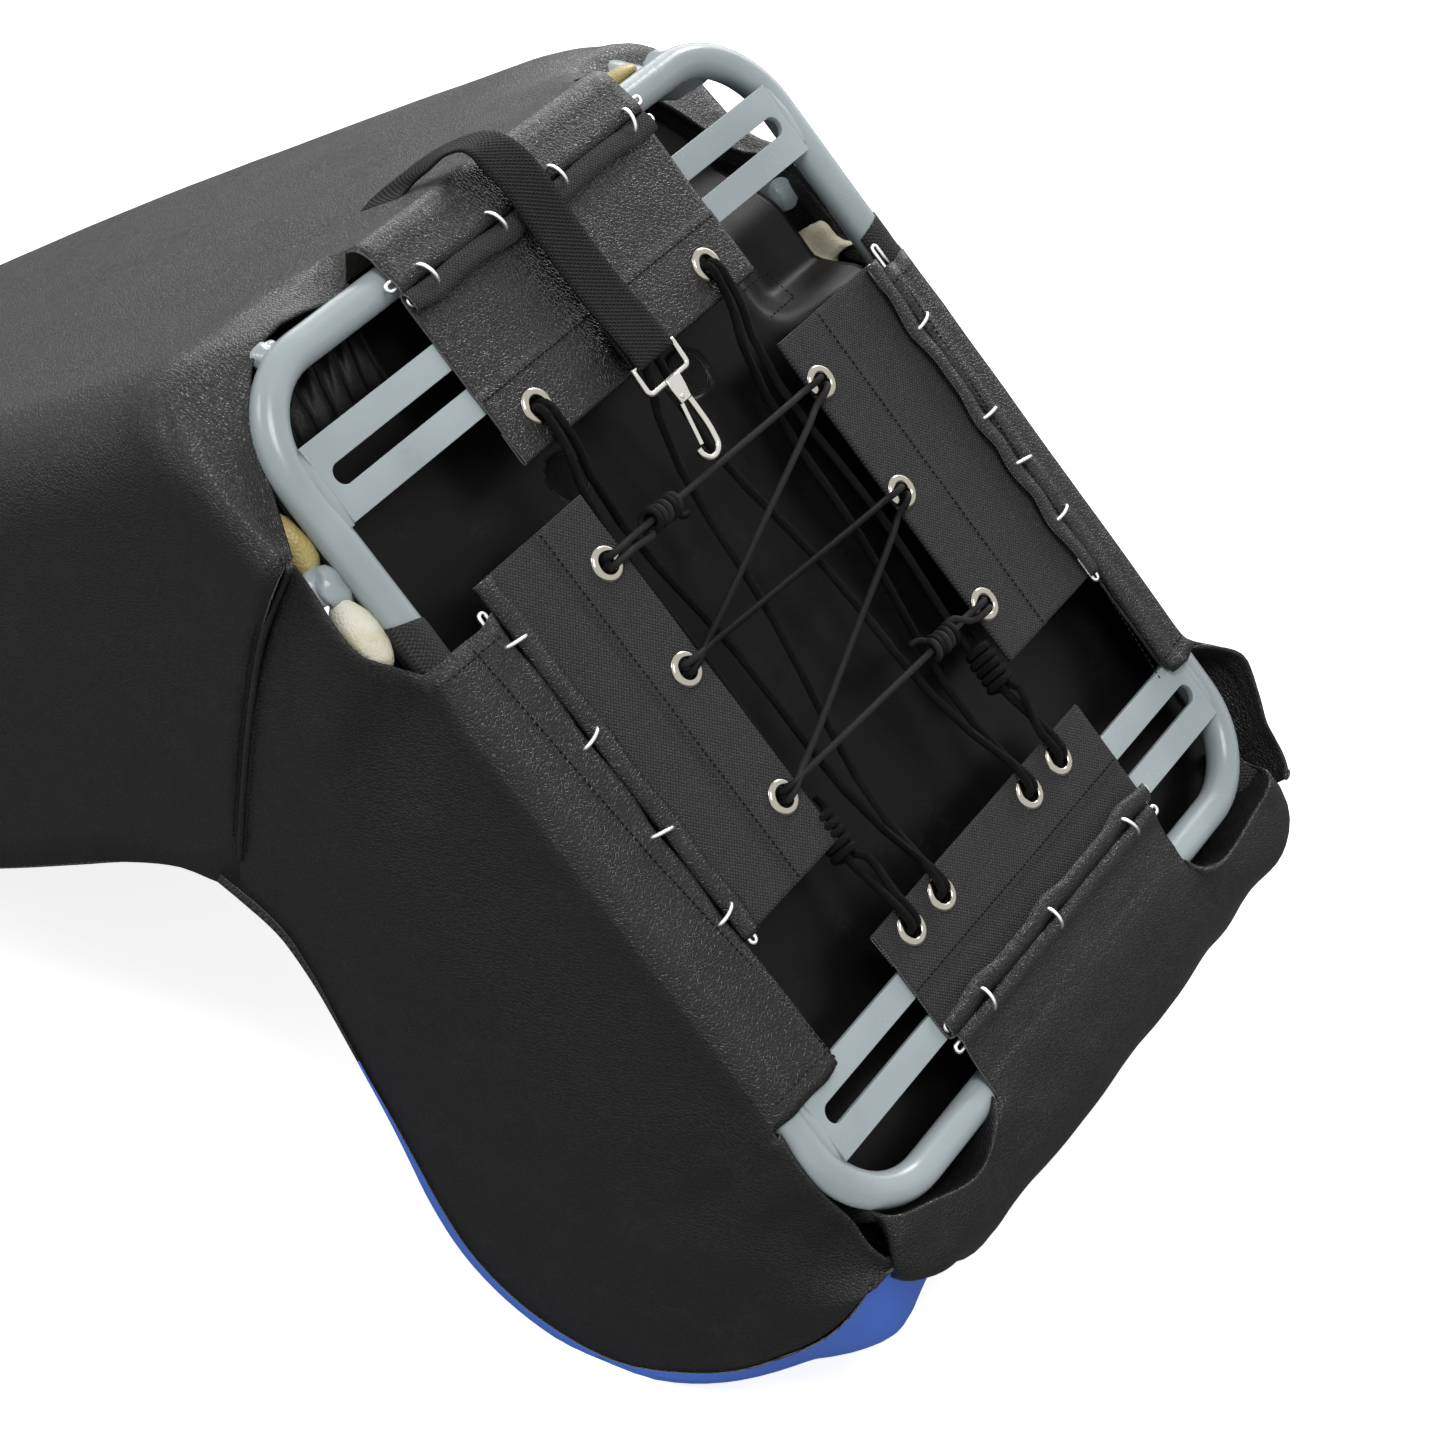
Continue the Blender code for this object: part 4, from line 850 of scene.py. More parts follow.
def make_frame(settings):
    paint = finishes().paint("frame_paint", settings.paint)
    radius = half_mm(settings.tube)
    path = [(x, y, -radius) for x, y in rounded_loop(HALF_LENGTH, HALF_WIDTH, CORNER_R, 16)]
    base = rod([path], radius, cyclic=True, sides=28)
    for weld in TUBE_WELDS:
        lump(base, *weld)
    finish_piece("base_tube", base, paint, ["base_frame_tube"], "frame_paint")
    for word, x in (("rear", -BAR_X), ("front", BAR_X)):
        half = BAR_WIDTH / 2
        outer = [(-half, -BAR_HALF), (half, -BAR_HALF), (half, BAR_HALF), (-half, BAR_HALF)]
        slot = arc((0, SLOT_SPAN), SLOT_WIDTH / 2, 0, 180, 14)
        slot += arc((0, -SLOT_SPAN), SLOT_WIDTH / 2, 180, 360, 14)
        bar = flat_plate([outer, slot], BAR_THICK, 0.5)
        for side in (LEFT, RIGHT):
            lump(bar, (0, side * BAR_WELD_Y, -2.0), (half - 1.5, 4.5, 2.3), 0.25, x + side)
        bmesh.ops.translate(bar, verts=bar.verts, vec=(x, 0, 0))
        finish_piece(word + "_bar", bar, paint, [word + "_cross_bar"], "frame_paint", angle=40)
    hoop = rod([hoop_path()], radius, sides=20)
    finish_piece("back_hoop", hoop, paint, ["back_hoop_tube"], "frame_paint")
    for side, word in SIDE_WORDS:
        strut = rod([strut_path(side, radius)], radius, sides=20)
        finish_piece(word + "_strut", strut, paint, [word + "_side_strut"], "frame_paint")


# Lining under the cushion
LINING_REAR, LINING_FRONT = -262.0, 285.0
LINING_HALF = 211.0
LINING_THICK = 0.0008            # metres
PATCH_X, PATCH_Y = -120, 54      # dark discs behind two holes of the lining, painted shade that shows in the holes
PATCH_HOLE, PATCH_R = 12.5, 15.0


def lining_height(x, y):
    """Height of the loosely lying lining, with gathered folds by the near rear corner."""
    z = LINING_Z + 2.4 + 3.0 * noise.noise(Vector((x / 60, y / 95, 3.0)))
    z += 1.2 * noise.noise(Vector((x / 24, y / 70, 8.0)))
    window = ease((-196.0 - x) / 20.0) * ease((-100.0 - y) / 25.0) * ease((y + 195.0) / 25.0)
    fold = math.sin((y + 0.25 * x) / 2.1 + 2.0 * noise.noise(Vector((x / 30, y / 30, 1.0))))
    return z + 3.4 * window * (1.0 + fold)


def make_lining(settings):
    columns = []
    for i in range(137):
        x = LINING_REAR + (LINING_FRONT - LINING_REAR) * i / 136
        short = 26.0 * ease((abs(x - 11.5) - 215.0) / 60.0)
        columns.append([Vector((x, (LINING_HALF - short) * (j / 53 - 1), LINING_Z)) for j in range(107)])
    bm = cover_grid(columns)
    face_away(bm, (0, 0, -300))
    for vert in bm.verts:
        vert.co.z = lining_height(vert.co.x, vert.co.y)
    hang(bm)
    # The dark discs below the two holes of the lining are painted shade that makes the holes look dark; there
    # is no real underlay.
    patches = bmesh.new()
    for side in (LEFT, RIGHT):
        punch(bm, (PATCH_X, side * PATCH_Y), PATCH_HOLE)
        made = bmesh.ops.create_circle(patches, cap_ends=True, segments=32, radius=PATCH_R)
        for vert in made["verts"]:
            x, y = vert.co.x + PATCH_X, vert.co.y + side * PATCH_Y
            vert.co = Vector((x, y, lining_height(x, y) - 0.5))
    hole_shade_finish = finishes().woven("black_felt", (0.002, 0.002, 0.002), threads=900.0)
    finish_piece("lining_hole_shade", patches, hole_shade_finish, [], "black_vinyl")
    # Painted shade: the lining down in the hollow of the base takes the cover's vinyl colour at three tenths
    # of its brightness.
    dark = tuple(c * 0.3 for c in settings.vinyl)
    glossy = finishes().vinyl("lining_vinyl", dark, pebble=0.05, roughness=0.36, shine=0.12)
    stack = (glossy, *cover_stack(settings)[1:])
    lay_sheet("lining", bm, stack, ["base_lining"], "black_vinyl", LINING_THICK)


# Back cover with its rear hem
# Lines of the back cover: (along, forward) on the rear face, and where the line ends at the side
BACK_ROWS = (
    ((192, 0), (192, 244)), ((238, 0), (238, 236)), ((290, 0), (290, 233)), ((345, 0), (345, 230)),
    ((430, 0), (430, 222)), ((520, 0), (520, 203)), ((610, 0), (610, 176)), ((700, 0), (700, 146)),
    ((780, 0), (780, 122)), ((830, 8), (812, 114)), ((858, 30), (830, 108)), ((868, 62), (842, 103)),
    ((858, 88), (848, 99)),
)
# Piped seam between back and side cover as (x, z), and how far along the back its lines start
SEAM = ((-175, -5), (-153, -59), (-124, -108), (-92, -156), (-53, -210))
SEAM_REAR = (35, 65, 95, 125, 155)
REAR_EDGE_X, REAR_EDGE_Z = -274.2, -9.7
# Rim of the back cover beside the hem, from the side to the rear
REAR_RIM = (
    (-178, 237, -6), (-187, 229, -11), (-209, 217.5, -12), (-238, 201.5, -12), (-260, 181, -12),
    (-266, 164, -12), (-264.5, 140, -11), (-260, 118, -9), (-266, 103, -8), (REAR_EDGE_X, 97.5, REAR_EDGE_Z),
)
# Section of the rear hem: (inward from the tube axis, height)
REAR_HEM = ((9.5, 1.2), (8.6, 4.4), (4.5, 5.9), (-1.5, 4.6), (-8, 2.8), (-14, 1.6), (-19.5, -1.8), (-23, -7))
HEM_STEPS = 3                    # rows of a hem between two of its keys
RING_PULL = 22.0                 # a hog ring draws the hem in over this length


def edge_normals(points):
    """Unit normals of an (x, z) edge, to the left of its run."""
    normals = []
    for i in range(len(points)):
        before = points[max(i - 1, 0)]
        after = points[min(i + 1, len(points) - 1)]
        dx, dz = after[0] - before[0], after[1] - before[1]
        length = max(math.hypot(dx, dz), 1e-6)
        normals.append((dz / length, -dx / length))
    return normals


def seam_edge(offset):
    return [(x - nx * offset, z - nz * offset) for (x, z), (nx, nz) in zip(SEAM, edge_normals(SEAM))]


def back_rows():
    rows = [((10, 0), (4, 70))]
    for along, (x, z) in zip(SEAM_REAR, seam_edge(-2.2)):
        rows.append(((along, 0), back_coords(x, z)))
    return rows + list(BACK_ROWS)


def back_places():
    """The columns of the back cover: down the left side, round the corner, across and back again."""
    side = [("side", 1 - i / 9) for i in range(9)]
    bend = [("bend", 90 - 10 * i) for i in range(9)]
    left = [(kind, LEFT, value) for kind, value in side + bend]
    start, end = SIDES["rear"]["hem"]
    across = [-190, -172, -154, -136, -118]
    across += [start + (end - start) * i / 30 for i in range(31)]
    across += [124, 140, 157, 173, 190]
    right = [(kind, RIGHT, value) for kind, value in reversed(side + bend)]
    return left + [("rear", 0, y) for y in across] + right


def back_spot(rear, edge, place):
    """A point of one line of the back cover."""
    kind, side, value = place
    reach = math.hypot(edge[0] - rear[0], edge[1] - rear[1])
    along = ((edge[0] - rear[0]) / reach, (edge[1] - rear[1]) / reach)
    corner = min(50.0, reach * 0.45)
    if kind == "side":
        depth, across = corner + (reach - corner) * value, side * SIDE_Y
    elif kind == "bend":
        t = math.radians(value)
        depth, across = corner * (1 - math.cos(t)), side * (SIDE_Y - corner + corner * math.sin(t))
    else:
        depth, across = 0.0, value / 190.0 * (SIDE_Y - corner)
    return back_point(rear[0] + along[0] * depth, rear[1] + along[1] * depth, across)


def rim_points(places, row):
    """Rim of the back cover: the measured line beside the hem, spread over the columns."""
    start, end = SIDES["rear"]["hem"]
    hem = [i for i, place in enumerate(places) if place[0] == "rear" and start - 0.5 <= place[2] <= end + 0.5]
    first, last = hem[0], hem[-1]
    points = [None] * len(places)
    for i in hem:
        points[i] = Vector((REAR_EDGE_X, places[i][2], REAR_EDGE_Z))
    line = smooth_line(REAR_RIM, 8)
    total = lengths(line)[-1]
    for side, order in ((LEFT, range(0, first + 1)), (RIGHT, range(len(places) - 1, last - 1, -1))):
        run = lengths([row[i] for i in order])
        for i, (spot, _) in zip(order, along_line(line, [gone / run[-1] * total for gone in run])):
            points[i] = Vector((spot.x, side * spot.y, spot.z))
    return points, first, last


# Lip of a free rim: how far in and how far down
LIP_END, LIP_BEND, LIP_TOP = (4.0, 26.0), (2.6, 6.0), (1.4, -0.3)


def turned_in(spot, count):
    """The lip of a free rim: turned in and down behind it."""
    inward = Vector((-spot.x, -spot.y, 0)).normalized()
    deep, near, top = (spot + inward * inset - UP * drop for inset, drop in (LIP_END, LIP_BEND, LIP_TOP))
    keys = [deep, mix(deep, near, 0.55), near, top, spot]
    return smooth_line(keys, count // 4)[:-1]


def hemmed_grid(columns, hem_rows, first, last):
    """A cover with a hem between two of its columns and a lip beside it, cut apart from the hem."""
    def kept(i, j):
        return j > hem_rows - 0.1 or not (first - 1 < i < first or last < i < last + 1)
    return cover_grid(columns, kept)


def gather(along, rings):
    """0 at a hog ring, 1 halfway between two."""
    near = min(abs(along - ring) for ring in rings)
    return ease(near / RING_PULL)


def puffed(keys, puff, swing, lift, fade):
    """Keys of a hem as (number, inward, height), drawn in at a hog ring and swollen between two."""
    moved = []
    for n, (d, z) in enumerate(keys):
        d += (2 * swing * puff - swing) * max(0.0, 1 - n / 3)
        z += (puff - 0.6) * lift * max(0.0, 1 - n / fade)
        moved.append((n, d, z))
    return moved


def softer_below(level, share):
    """How soft a cover is: fully below a level, and by a share above it."""
    return lambda point: 1.0 if point.z < level else share


def make_back_cover(settings):
    places = back_places()
    spots = [[back_spot(rear, edge, place) for place in places] for rear, edge in back_rows()]
    rim, first, last = rim_points(places, spots[1])
    hem_rows = len(REAR_HEM) * HEM_STEPS
    columns = []
    for i, place in enumerate(places):
        y = place[2]
        body = smooth_line([rim[i]] + [row[i] for row in spots[1:]], 4)
        if first <= i <= last:
            keys = []
            for n, d, z in puffed(REAR_HEM, gather(y, SIDES["rear"]["rings"]), 0.8, 0.9, 5):
                keys.append((d - HALF_LENGTH, y, z + 0.5 * noise.noise((y / 17, n * 0.6, 0))))
            hem = smooth_line(keys + [rim[i]], HEM_STEPS)[:-1]
        else:
            hem = turned_in(rim[i], hem_rows)
        columns.append(hem + body)
    bm = hemmed_grid(columns, hem_rows, first, last)
    face_away(bm, back_point(400, 120, 0))
    soft = softer_below(-30, 0.3)
    ruffle(bm, 1.2, 150.0, 2.0, soft)
    ruffle(bm, 0.35, 42.0, 5.0, soft)
    hang(bm)
    lay_sheet("back_cover_and_hem", bm, cover_stack(settings), ["back_cover", "rear_hem"], "black_vinyl",
              settings.thickness)


# Side covers with their hems
# Points of the side cover's upper rim and lower edge, from the seam to the front
SIDE_PAIRS = (
    ((-175, 237, -8), (-53, 240, -210)), ((-160, 234.5, -13), (-38, 240, -204)),
    ((-143, 236, -14), (-23, 240, -201)), ((-123, 235, -14), (0, 240, -204)),
    ((-107, 225, -10), (15, 240, -208)), ((-97, 218.9, -6), (24, 240, -211)),
    ((-60, 218.9, -6), (57, 240, -222)), ((0, 218.9, -6), (90, 240, -231)),
    ((60, 218.9, -6), (120, 240, -240)), ((110, 218.9, -6), (150, 240, -249)),
    ((160, 218.9, -6), (179, 240, -254)), ((178, 218.9, -6), (211, 239, -251)),
    ((195, 219, -8), (240, 238, -238)), ((213, 217.5, -10), (268, 235, -216)),
    ((230, 213, -12), (286, 231, -180)), ((243, 209, -14), (294, 228, -146)),
    ((254, 209, -15), (294, 225, -107)), ((264, 207.5, -15), (290, 223, -70)),
    ((271, 204, -15), (283, 219, -45)), ((275, 200, -16), (271, 208, -22)),
)
# Folds of the side covers: x and z of the upper end, x and z of the lower end, height, width
SIDE_FOLDS = ((180, -14, 138, -95, 3.4, 11), (186, -16, 176, -110, 3.0, 10), (205, -20, 222, -95, 3.6, 12),
              (236, -26, 250, -80, 3.0, 10), (-112, -24, -92, -100, 2.4, 11), (-60, -16, -20, -90, 1.8, 14),
              (246, -60, 200, -120, 2.6, 15))
SIDE_STEPS = 4
HEM_FIRST = 5 * SIDE_STEPS
HEM_LAST = 11 * SIDE_STEPS


def side_edge(side):
    """Lower edge of a side cover, from the piped seam to its tip at the front corner."""
    return smooth_line([(x, side * y, z) for _, (x, y, z) in SIDE_PAIRS], SIDE_STEPS)


def side_top(side):
    return smooth_line([(x, side * y, z) for (x, y, z), _ in SIDE_PAIRS], SIDE_STEPS)


def hem_keys(ring_line):
    """Section of a hem: rolled round its wire, over the tube and down its outer side."""
    r = ring_line
    return [(r + 0.5, 1.2), (r - 0.5, 4.6), (r - 5, 6.0), (r - 11, 4.4), (0.42 * r, 2.6), (0.16 * r, 2.2),
            (-2, 1.7), (-7.5, -1.2)]


def hem_height(side_name, inward):
    """Height of a side hem's face at a distance inward from the tube axis."""
    return between(sorted(hem_keys(SIDES[side_name]["ring_line"])[2:]), inward)


def seam_bow(step):
    """How far the piped seam bows behind the straight line between its ends."""
    return -44.0 * step * (1 - step) * (1 - 0.25 * step)


def side_columns(side, word):
    spec = SIDES[word]
    place = side_place(word)
    keys = hem_keys(spec["ring_line"])
    hem_rows = len(keys) * HEM_STEPS
    columns = []
    for i, (top, edge) in enumerate(zip(side_top(side), side_edge(side))):
        body = []
        for n in range(27):
            step = n / 26
            spot = mix(top, edge, step)
            spot.y = top.y + (edge.y - top.y) * ease(step * 1.9)
            spot.x += seam_bow(step) * max(0.0, 1 - i / 22) ** 2
            body.append(spot)
        if HEM_FIRST <= i <= HEM_LAST:
            points = []
            for n, d, z in puffed(keys, gather(top.x, spec["rings"]), 1.2, 1.2, 4):
                z += 0.7 * noise.noise((top.x / 19, n * 0.7, side)) * max(0.0, 1 - n / 8)
                points.append(place(d, z, top.x + 3.0 * noise.noise((n * 0.4, side * 2.0, 0.0))))
            hem = smooth_line(points + [top], HEM_STEPS)[:-1]
        else:
            hem = turned_in(top, hem_rows)
        columns.append(hem + body)
    return columns, hem_rows


def make_side_covers(settings):
    for side, word in SIDE_WORDS:
        columns, hem_rows = side_columns(side, word)
        bm = hemmed_grid(columns, hem_rows, HEM_FIRST, HEM_LAST)
        face_away(bm, (60, side * 120, -120))
        soft = softer_below(-20, 0.35)
        ruffle(bm, 2.0, 90.0, 7.0 + side, soft)
        ruffle(bm, 0.5, 30.0, 11.0 + side, soft)
        folds = []
        for x, z, low_x, low_z, rise, wide in SIDE_FOLDS:
            folds.append(((x, side * 222, z), (low_x, side * SIDE_Y, low_z), rise, wide))
        crease(bm, folds)
        hang(bm)
        if side == RIGHT:
            flare(bm)
        lay_sheet(word + "_side_cover_and_hem", bm, cover_stack(settings),
                  [word + "_seat_side_cover", word + "_hem"], "black_vinyl", settings.thickness)


# Front cover with its hem and both corners
# Columns of the front cover round a corner, from the side cover inwards, each from top to bottom
FRONT_CORNER = (
    ((230, 197, -16), (235, 193, -19), (240, 190, -22), (243, 188, -26), (246, 187, -34), (246, 185, -48),
     (244, 183, -64), (242, 181, -82)),
    ((243, 199, -12), (250, 196, -15), (258, 194, -18), (265, 193, -22), (269, 193, -28), (268, 192, -42),
     (264, 190, -60), (261, 188, -80)),
    ((250, 199, -4), (257, 201, -6), (266, 203, -10), (274, 204, -14), (279, 203, -18), (277, 200, -33),
     (275, 198, -58), (273, 196, -80)),
    ((264, 172, -2), (270, 175, -4), (280, 179, -8), (290, 182, -12), (296, 182, -18), (294, 180, -34),
     (292, 179, -60), (288, 178, -80)),
    ((274, 134, -1), (279, 140, -3), (289, 149, -7), (296, 156, -13), (302, 158, -22), (303, 156, -40),
     (301, 155, -59), (297, 154, -76)),
    ((264, 112, 1), (272, 117, -2), (288, 126, -8), (304, 134, -19), (314, 138, -40), (314, 140, -69),
     (305, 140, -96), (294, 140, -106)),
)
# Section of the front cover below its hem as (x, z), its folds, and how much of it swells
FRONT_DROP = ((252.5, 1.7), (270.5, -3), (286.5, -9), (297.5, -22), (302.5, -45), (302.5, -75), (295.5, -100),
              (291, -106))
FRONT_FOLDS = (((266, 104, -2), (306, 62, -62), 3.2, 10), ((266, -92, -2), (307, -58, -66), 2.6, 10),
               ((262, -104, -1), (300, -142, -44), 3.0, 9), ((264, 116, -1), (300, 156, -44), 3.0, 9),
               ((278, -30, -4), (305, 16, -70), 2.0, 12))
FRONT_SWELL = (0, 0.1, 0.5, 1, 1, 0.9, 0.5, 0)


def front_drop(y):
    swell = 11.0 * (1 - (y / 165.0) ** 4)
    return [Vector((x + swell * share, y, z)) for (x, z), share in zip(FRONT_DROP, FRONT_SWELL)]


def front_columns():
    """Columns of the front cover from its left corner to its right, and which of them carry the hem."""
    spec = SIDES["front"]
    steps = 5
    left = [[Vector((x, -y, z)) for x, y, z in column] for column in FRONT_CORNER]
    right = [[Vector(p) for p in column] for column in reversed(FRONT_CORNER)]
    hem_y = [spec["hem"][0] + (spec["hem"][1] - spec["hem"][0]) * i / 9 for i in range(10)]
    keys = left + [front_drop(y) for y in hem_y] + right
    tracks = [smooth_line([column[n] for column in keys], steps) for n in range(len(FRONT_DROP))]
    first, last = len(left) * steps, (len(left) + len(hem_y) - 1) * steps
    profile = hem_keys(spec["ring_line"])[:4] + [(12, 2.8), (8, 2.5), (4, 2.3), (1, 2.0)]
    hem_rows = len(profile) * HEM_STEPS
    columns = []
    for i in range(len(tracks[0])):
        drop = [track[i] for track in tracks]
        if first <= i <= last:
            y = drop[0].y
            points = []
            for n, d, z in puffed(profile, gather(y, spec["rings"]), 1.0, 1.2, 4):
                points.append((HALF_LENGTH - d, y, z + 0.5 * noise.noise((y / 18, n * 0.7, 4.0))))
            whole = smooth_line(points + drop, HEM_STEPS)
        else:
            whole = turned_in(drop[0], hem_rows) + smooth_line(drop, HEM_STEPS)
        columns.append(whole)
    return columns, hem_rows, first, last


def make_front_cover(settings):
    columns, hem_rows, first, last = front_columns()
    bm = hemmed_grid(columns, hem_rows, first, last)
    face_away(bm, (120, 0, -80))
    ruffle(bm, 1.6, 45.0, 17.0, lambda point: 1.0 if point.x > 262 else 0.3)
    crease(bm, FRONT_FOLDS)
    reach(bm)
    lay_sheet("front_cover_and_hem", bm, cover_stack(settings), ["front_cover", "front_hem"], "black_vinyl",
              settings.thickness)


# Facings of the bolsters and the wings
# Sections of the facings' rims: (outward, across)
RIM = ((0.9, 1.1), (8, 12), (9.5, 34), (2, 58), (-14, 72))
BOLSTER_RIM = ((0.6, -0.6), (5, -1.2), (10, 1.5), (13, 9), (13, 24), (8.5, 42), (0, 60), (-14, 72))
BLUE_PAIR = 6                    # the blue starts at this pair of the side cover's points
SLIM_RUN = 110.0                 # over this length to either side of it the rim thins
FACING_Z = -109.0                # where the facings meet the cushion's centre panel
FRONT_REACH = ((-109, 290), (-100, 296), (-86, 300), (-62, 302), (-34, 297.5), (-20, 296))


def bolster_rows(side):
    edge = side_edge(side)
    normals = edge_normals([(p.x, p.z) for p in edge])
    rows = []
    for spot, normal in zip(edge, normals):
        slim = 0.2 + 0.8 * ease(abs(spot.x - edge[BLUE_PAIR * SIDE_STEPS].x) / SLIM_RUN)
        over = []
        for out, across in BOLSTER_RIM:
            over.append(Vector((spot.x + normal[0] * out * slim, spot.y - side * across,
                                spot.z + normal[1] * out * slim)))
        over.append(Vector((min(spot.x, 290.0), side * 152.7, FACING_Z)))
        foot = Vector((between(FRONT_REACH, spot.z), side * 152.0, max(spot.z, FACING_Z)))
        round_front = []
        for t in (0.01, 0.06, 0.14, 0.26, 0.42, 0.6, 0.78, 0.9, 1.0):
            full = 0.3 + 3.0 * ease((-24.0 - spot.z) / 44.0)
            bulge = Vector((6.5 * full, side * 4.0, 0)) * math.sin(math.pi * t) + Vector((1.2, side * 0.8, 0))
            round_front.append(mix(spot, foot, t) + bulge)
        turn = ease((spot.z + 190.0) / 90.0) if spot.x > 255 else 0.0
        rows.append(smooth_line([mix(a, b, turn) for a, b in zip(over, round_front)], 5))
    for back, lift in ((2.5, 2.5), (6.0, 4.0)):
        rows.append([p + Vector((-back, -side * 0.6 * back, lift)) for p in rows[len(edge) - 1]])
    lead = [a + (a - b) * 1.5 for a, b in zip(rows[0], rows[2])]
    return [lead] + rows


def wing_rows(side):
    keys = []
    for _, edge in back_rows()[5:-2]:
        section = []
        for out, across in RIM:
            section.append(back_point(edge[0], max(edge[1] + out, 99.0) + 0.3, side * (SIDE_Y - across)))
        section.append(back_point(edge[0], 97.5, side * CUSHION_HALF))
        keys.append(smooth_line(section, 5))
    tracks = [smooth_line([row[n] for row in keys], 5) for n in range(len(keys[0]))]
    return [[track[i] for track in tracks] for i in range(len(tracks[0]))]


def make_facings(settings):
    shop = finishes()
    blue = shop.vinyl("blue_vinyl", settings.blue, pebble=0.12, roughness=0.36, light=1.25)
    carbon = shop.woven("carbon_weave", (0.03, 0.03, 0.031), threads=330.0)
    inner = cover_stack(settings)[1:]
    first = BLUE_PAIR * SIDE_STEPS + 1
    for side, word in SIDE_WORDS:
        rows = bolster_rows(side)
        for name, part, face, nodes, slot, length in (
                ("_blue_facing", rows[first:], blue, [word + "_bolster_facing"], "blue_vinyl", 0.52),
                ("_dark_facing", rows[:first + 1], carbon, [], "woven_backing", 0.14)):
            bm = cover_grid(part)
            face_away(bm, (60, side * 190, -150))
            ruffle(bm, 0.8, 60.0, 21.0 + side)
            lay_sheet(word + name, bm, (face, *inner), nodes, slot, settings.thickness)
        bm = cover_grid(wing_rows(side))
        face_away(bm, back_point(400, 60, side * 160))
        lay_sheet(word + "_wing_cover", bm, (carbon, *inner), [word + "_wing_facing"], "woven_backing",
                  settings.thickness)


# Centre panels of the cushion and the backrest
PANEL_HALF = 150.8
PANEL_DEPTH = 95.4               # of the backrest's panel in front of the back's rear face
SEAT_SWELL, BACK_SWELL = 11.0, 10.0
# Middle of the cushion's panel as (x, z), and of the backrest's panel along the back
SEAT_PATH = ((290, -106.4), (272, -109.3), (160, -107.2), (40, -104.9), (-80, -100.1), (-182, -97.6))
BACK_PATH = (118, 200, 300, 430, 520, 610, 700, 780, 835)


def make_panels(settings):
    spread = [i / 20 - 1 for i in range(41)]
    stack = cover_stack(settings)
    path = smooth_line([(x, 0, z) for x, z in SEAT_PATH], 10)
    columns = []
    for i, spot in enumerate(path):
        swell = SEAT_SWELL * math.sin(math.pi * i / (len(path) - 1)) ** 0.5
        columns.append([Vector((spot.x, PANEL_HALF * w, spot.z - swell * (1 - w ** 4))) for w in spread])
    bm = cover_grid(columns)
    face_away(bm, (40, 0, -20))
    ruffle(bm, 1.0, 70.0, 31.0)
    lay_sheet("seat_panel", bm, stack, ["seat_centre_panel"], "black_vinyl", settings.thickness)
    path = smooth_line([(s, 0, 0) for s in BACK_PATH], 8)
    columns = []
    for i, spot in enumerate(path):
        swell = BACK_SWELL * math.sin(math.pi * i / (len(path) - 1)) ** 0.5
        columns.append([back_point(spot.x, PANEL_DEPTH + swell * (1 - w ** 4), PANEL_HALF * w)
                        for w in spread])
    bm = cover_grid(columns)
    face_away(bm, back_point(400, 40, 0))
    ruffle(bm, 1.0, 80.0, 37.0)
    lay_sheet("backrest_panel", bm, stack, ["backrest_centre_panel"], "black_vinyl", settings.thickness)


PIPING_R = 1.8


def make_piping(settings):
    vinyl = cover_stack(settings)[0]
    for side, word in SIDE_WORDS:
        path = smooth_line([(x, side * (SIDE_Y - 0.1), z) for x, z in SEAM], 12)
        path = [p - UP * sag(p) for p in path]
        welt = rod([path[:-4]], PIPING_R, sides=12)
        finish_piece(word + "_piped_seam", welt, vinyl, [word + "_piping"], "black_vinyl")


# Foam under the covers
FOAM_NODES = ("seat_foam", "backrest_foam", "left_bolster_foam", "right_bolster_foam", "left_wing_foam",
              "right_wing_foam")
FOAM_GRID = 0.006                # metres
# Pieces of foam that show at the rim and the corners: centre, size, roughness, seed
RIM_PADS = (((-128, -223, -18.5), (21, 9.5, 12), 0.04, 2.0),)
CORNER_PADS = (((-180, -220, -26), (22, 9, 13), 0.12, 6.0), ((-263, 134, -28), (6, 15, 17), 0.12, 6.0))


def make_foam():
    shop = finishes()
    cream = shop.foam("cream_foam", (0.72, 0.68, 0.55))
    for name in FOAM_NODES:
        bm = bmesh.new()
        bm.from_mesh(frame["nodes"][name].data)
        bmesh.ops.remove_doubles(bm, verts=bm.verts, dist=0.00002)
        bmesh.ops.recalc_face_normals(bm, faces=bm.faces)
        holder = new_object(name + "_raw", new_mesh(name + "_raw", bm))
        grid = holder.modifiers.new("grid", "REMESH")
        grid.mode = "VOXEL"
        grid.voxel_size = FOAM_GRID
        soft = holder.modifiers.new("soft", "SMOOTH")
        soft.factor = 0.5
        soft.iterations = 6
        bm = shown_bmesh(holder)
        bm.transform(SEAT.inverted())
        hang(bm)
        finish_piece(name.replace("foam", "pad"), bm, cream, [name], "foam")
    pale = shop.foam("pale_foam", (0.80, 0.78, 0.66), 0.7)
    yellow = shop.foam("yellow_foam", (0.50, 0.42, 0.17), 0.35)
    for name, foam, pads in (("left_rim_pad", pale, RIM_PADS), ("corner_pads", yellow, CORNER_PADS)):
        bm = bmesh.new()
        for pad in pads:
            lump(bm, *pad)
        finish_piece(name, bm, foam, [], "foam")


# Flaps hooked to the hems, with their eyelets, rings and wires
FLAP_THICK = 0.0012              # metres
FLAP_STEP = 2.8
EYELET_HOLE = 6.4                # radius of the hole in the flap
WIRE_R = 1.1
WIRE_TURN = 2.1                  # radius of the hairpin at a wire's end
WIRE_LEG = 14
RING_R = 1.15
RING_HALF = 6.6
RING_RISE = 4.6
RING_START, RING_SWEEP = -65, 310                  # degrees


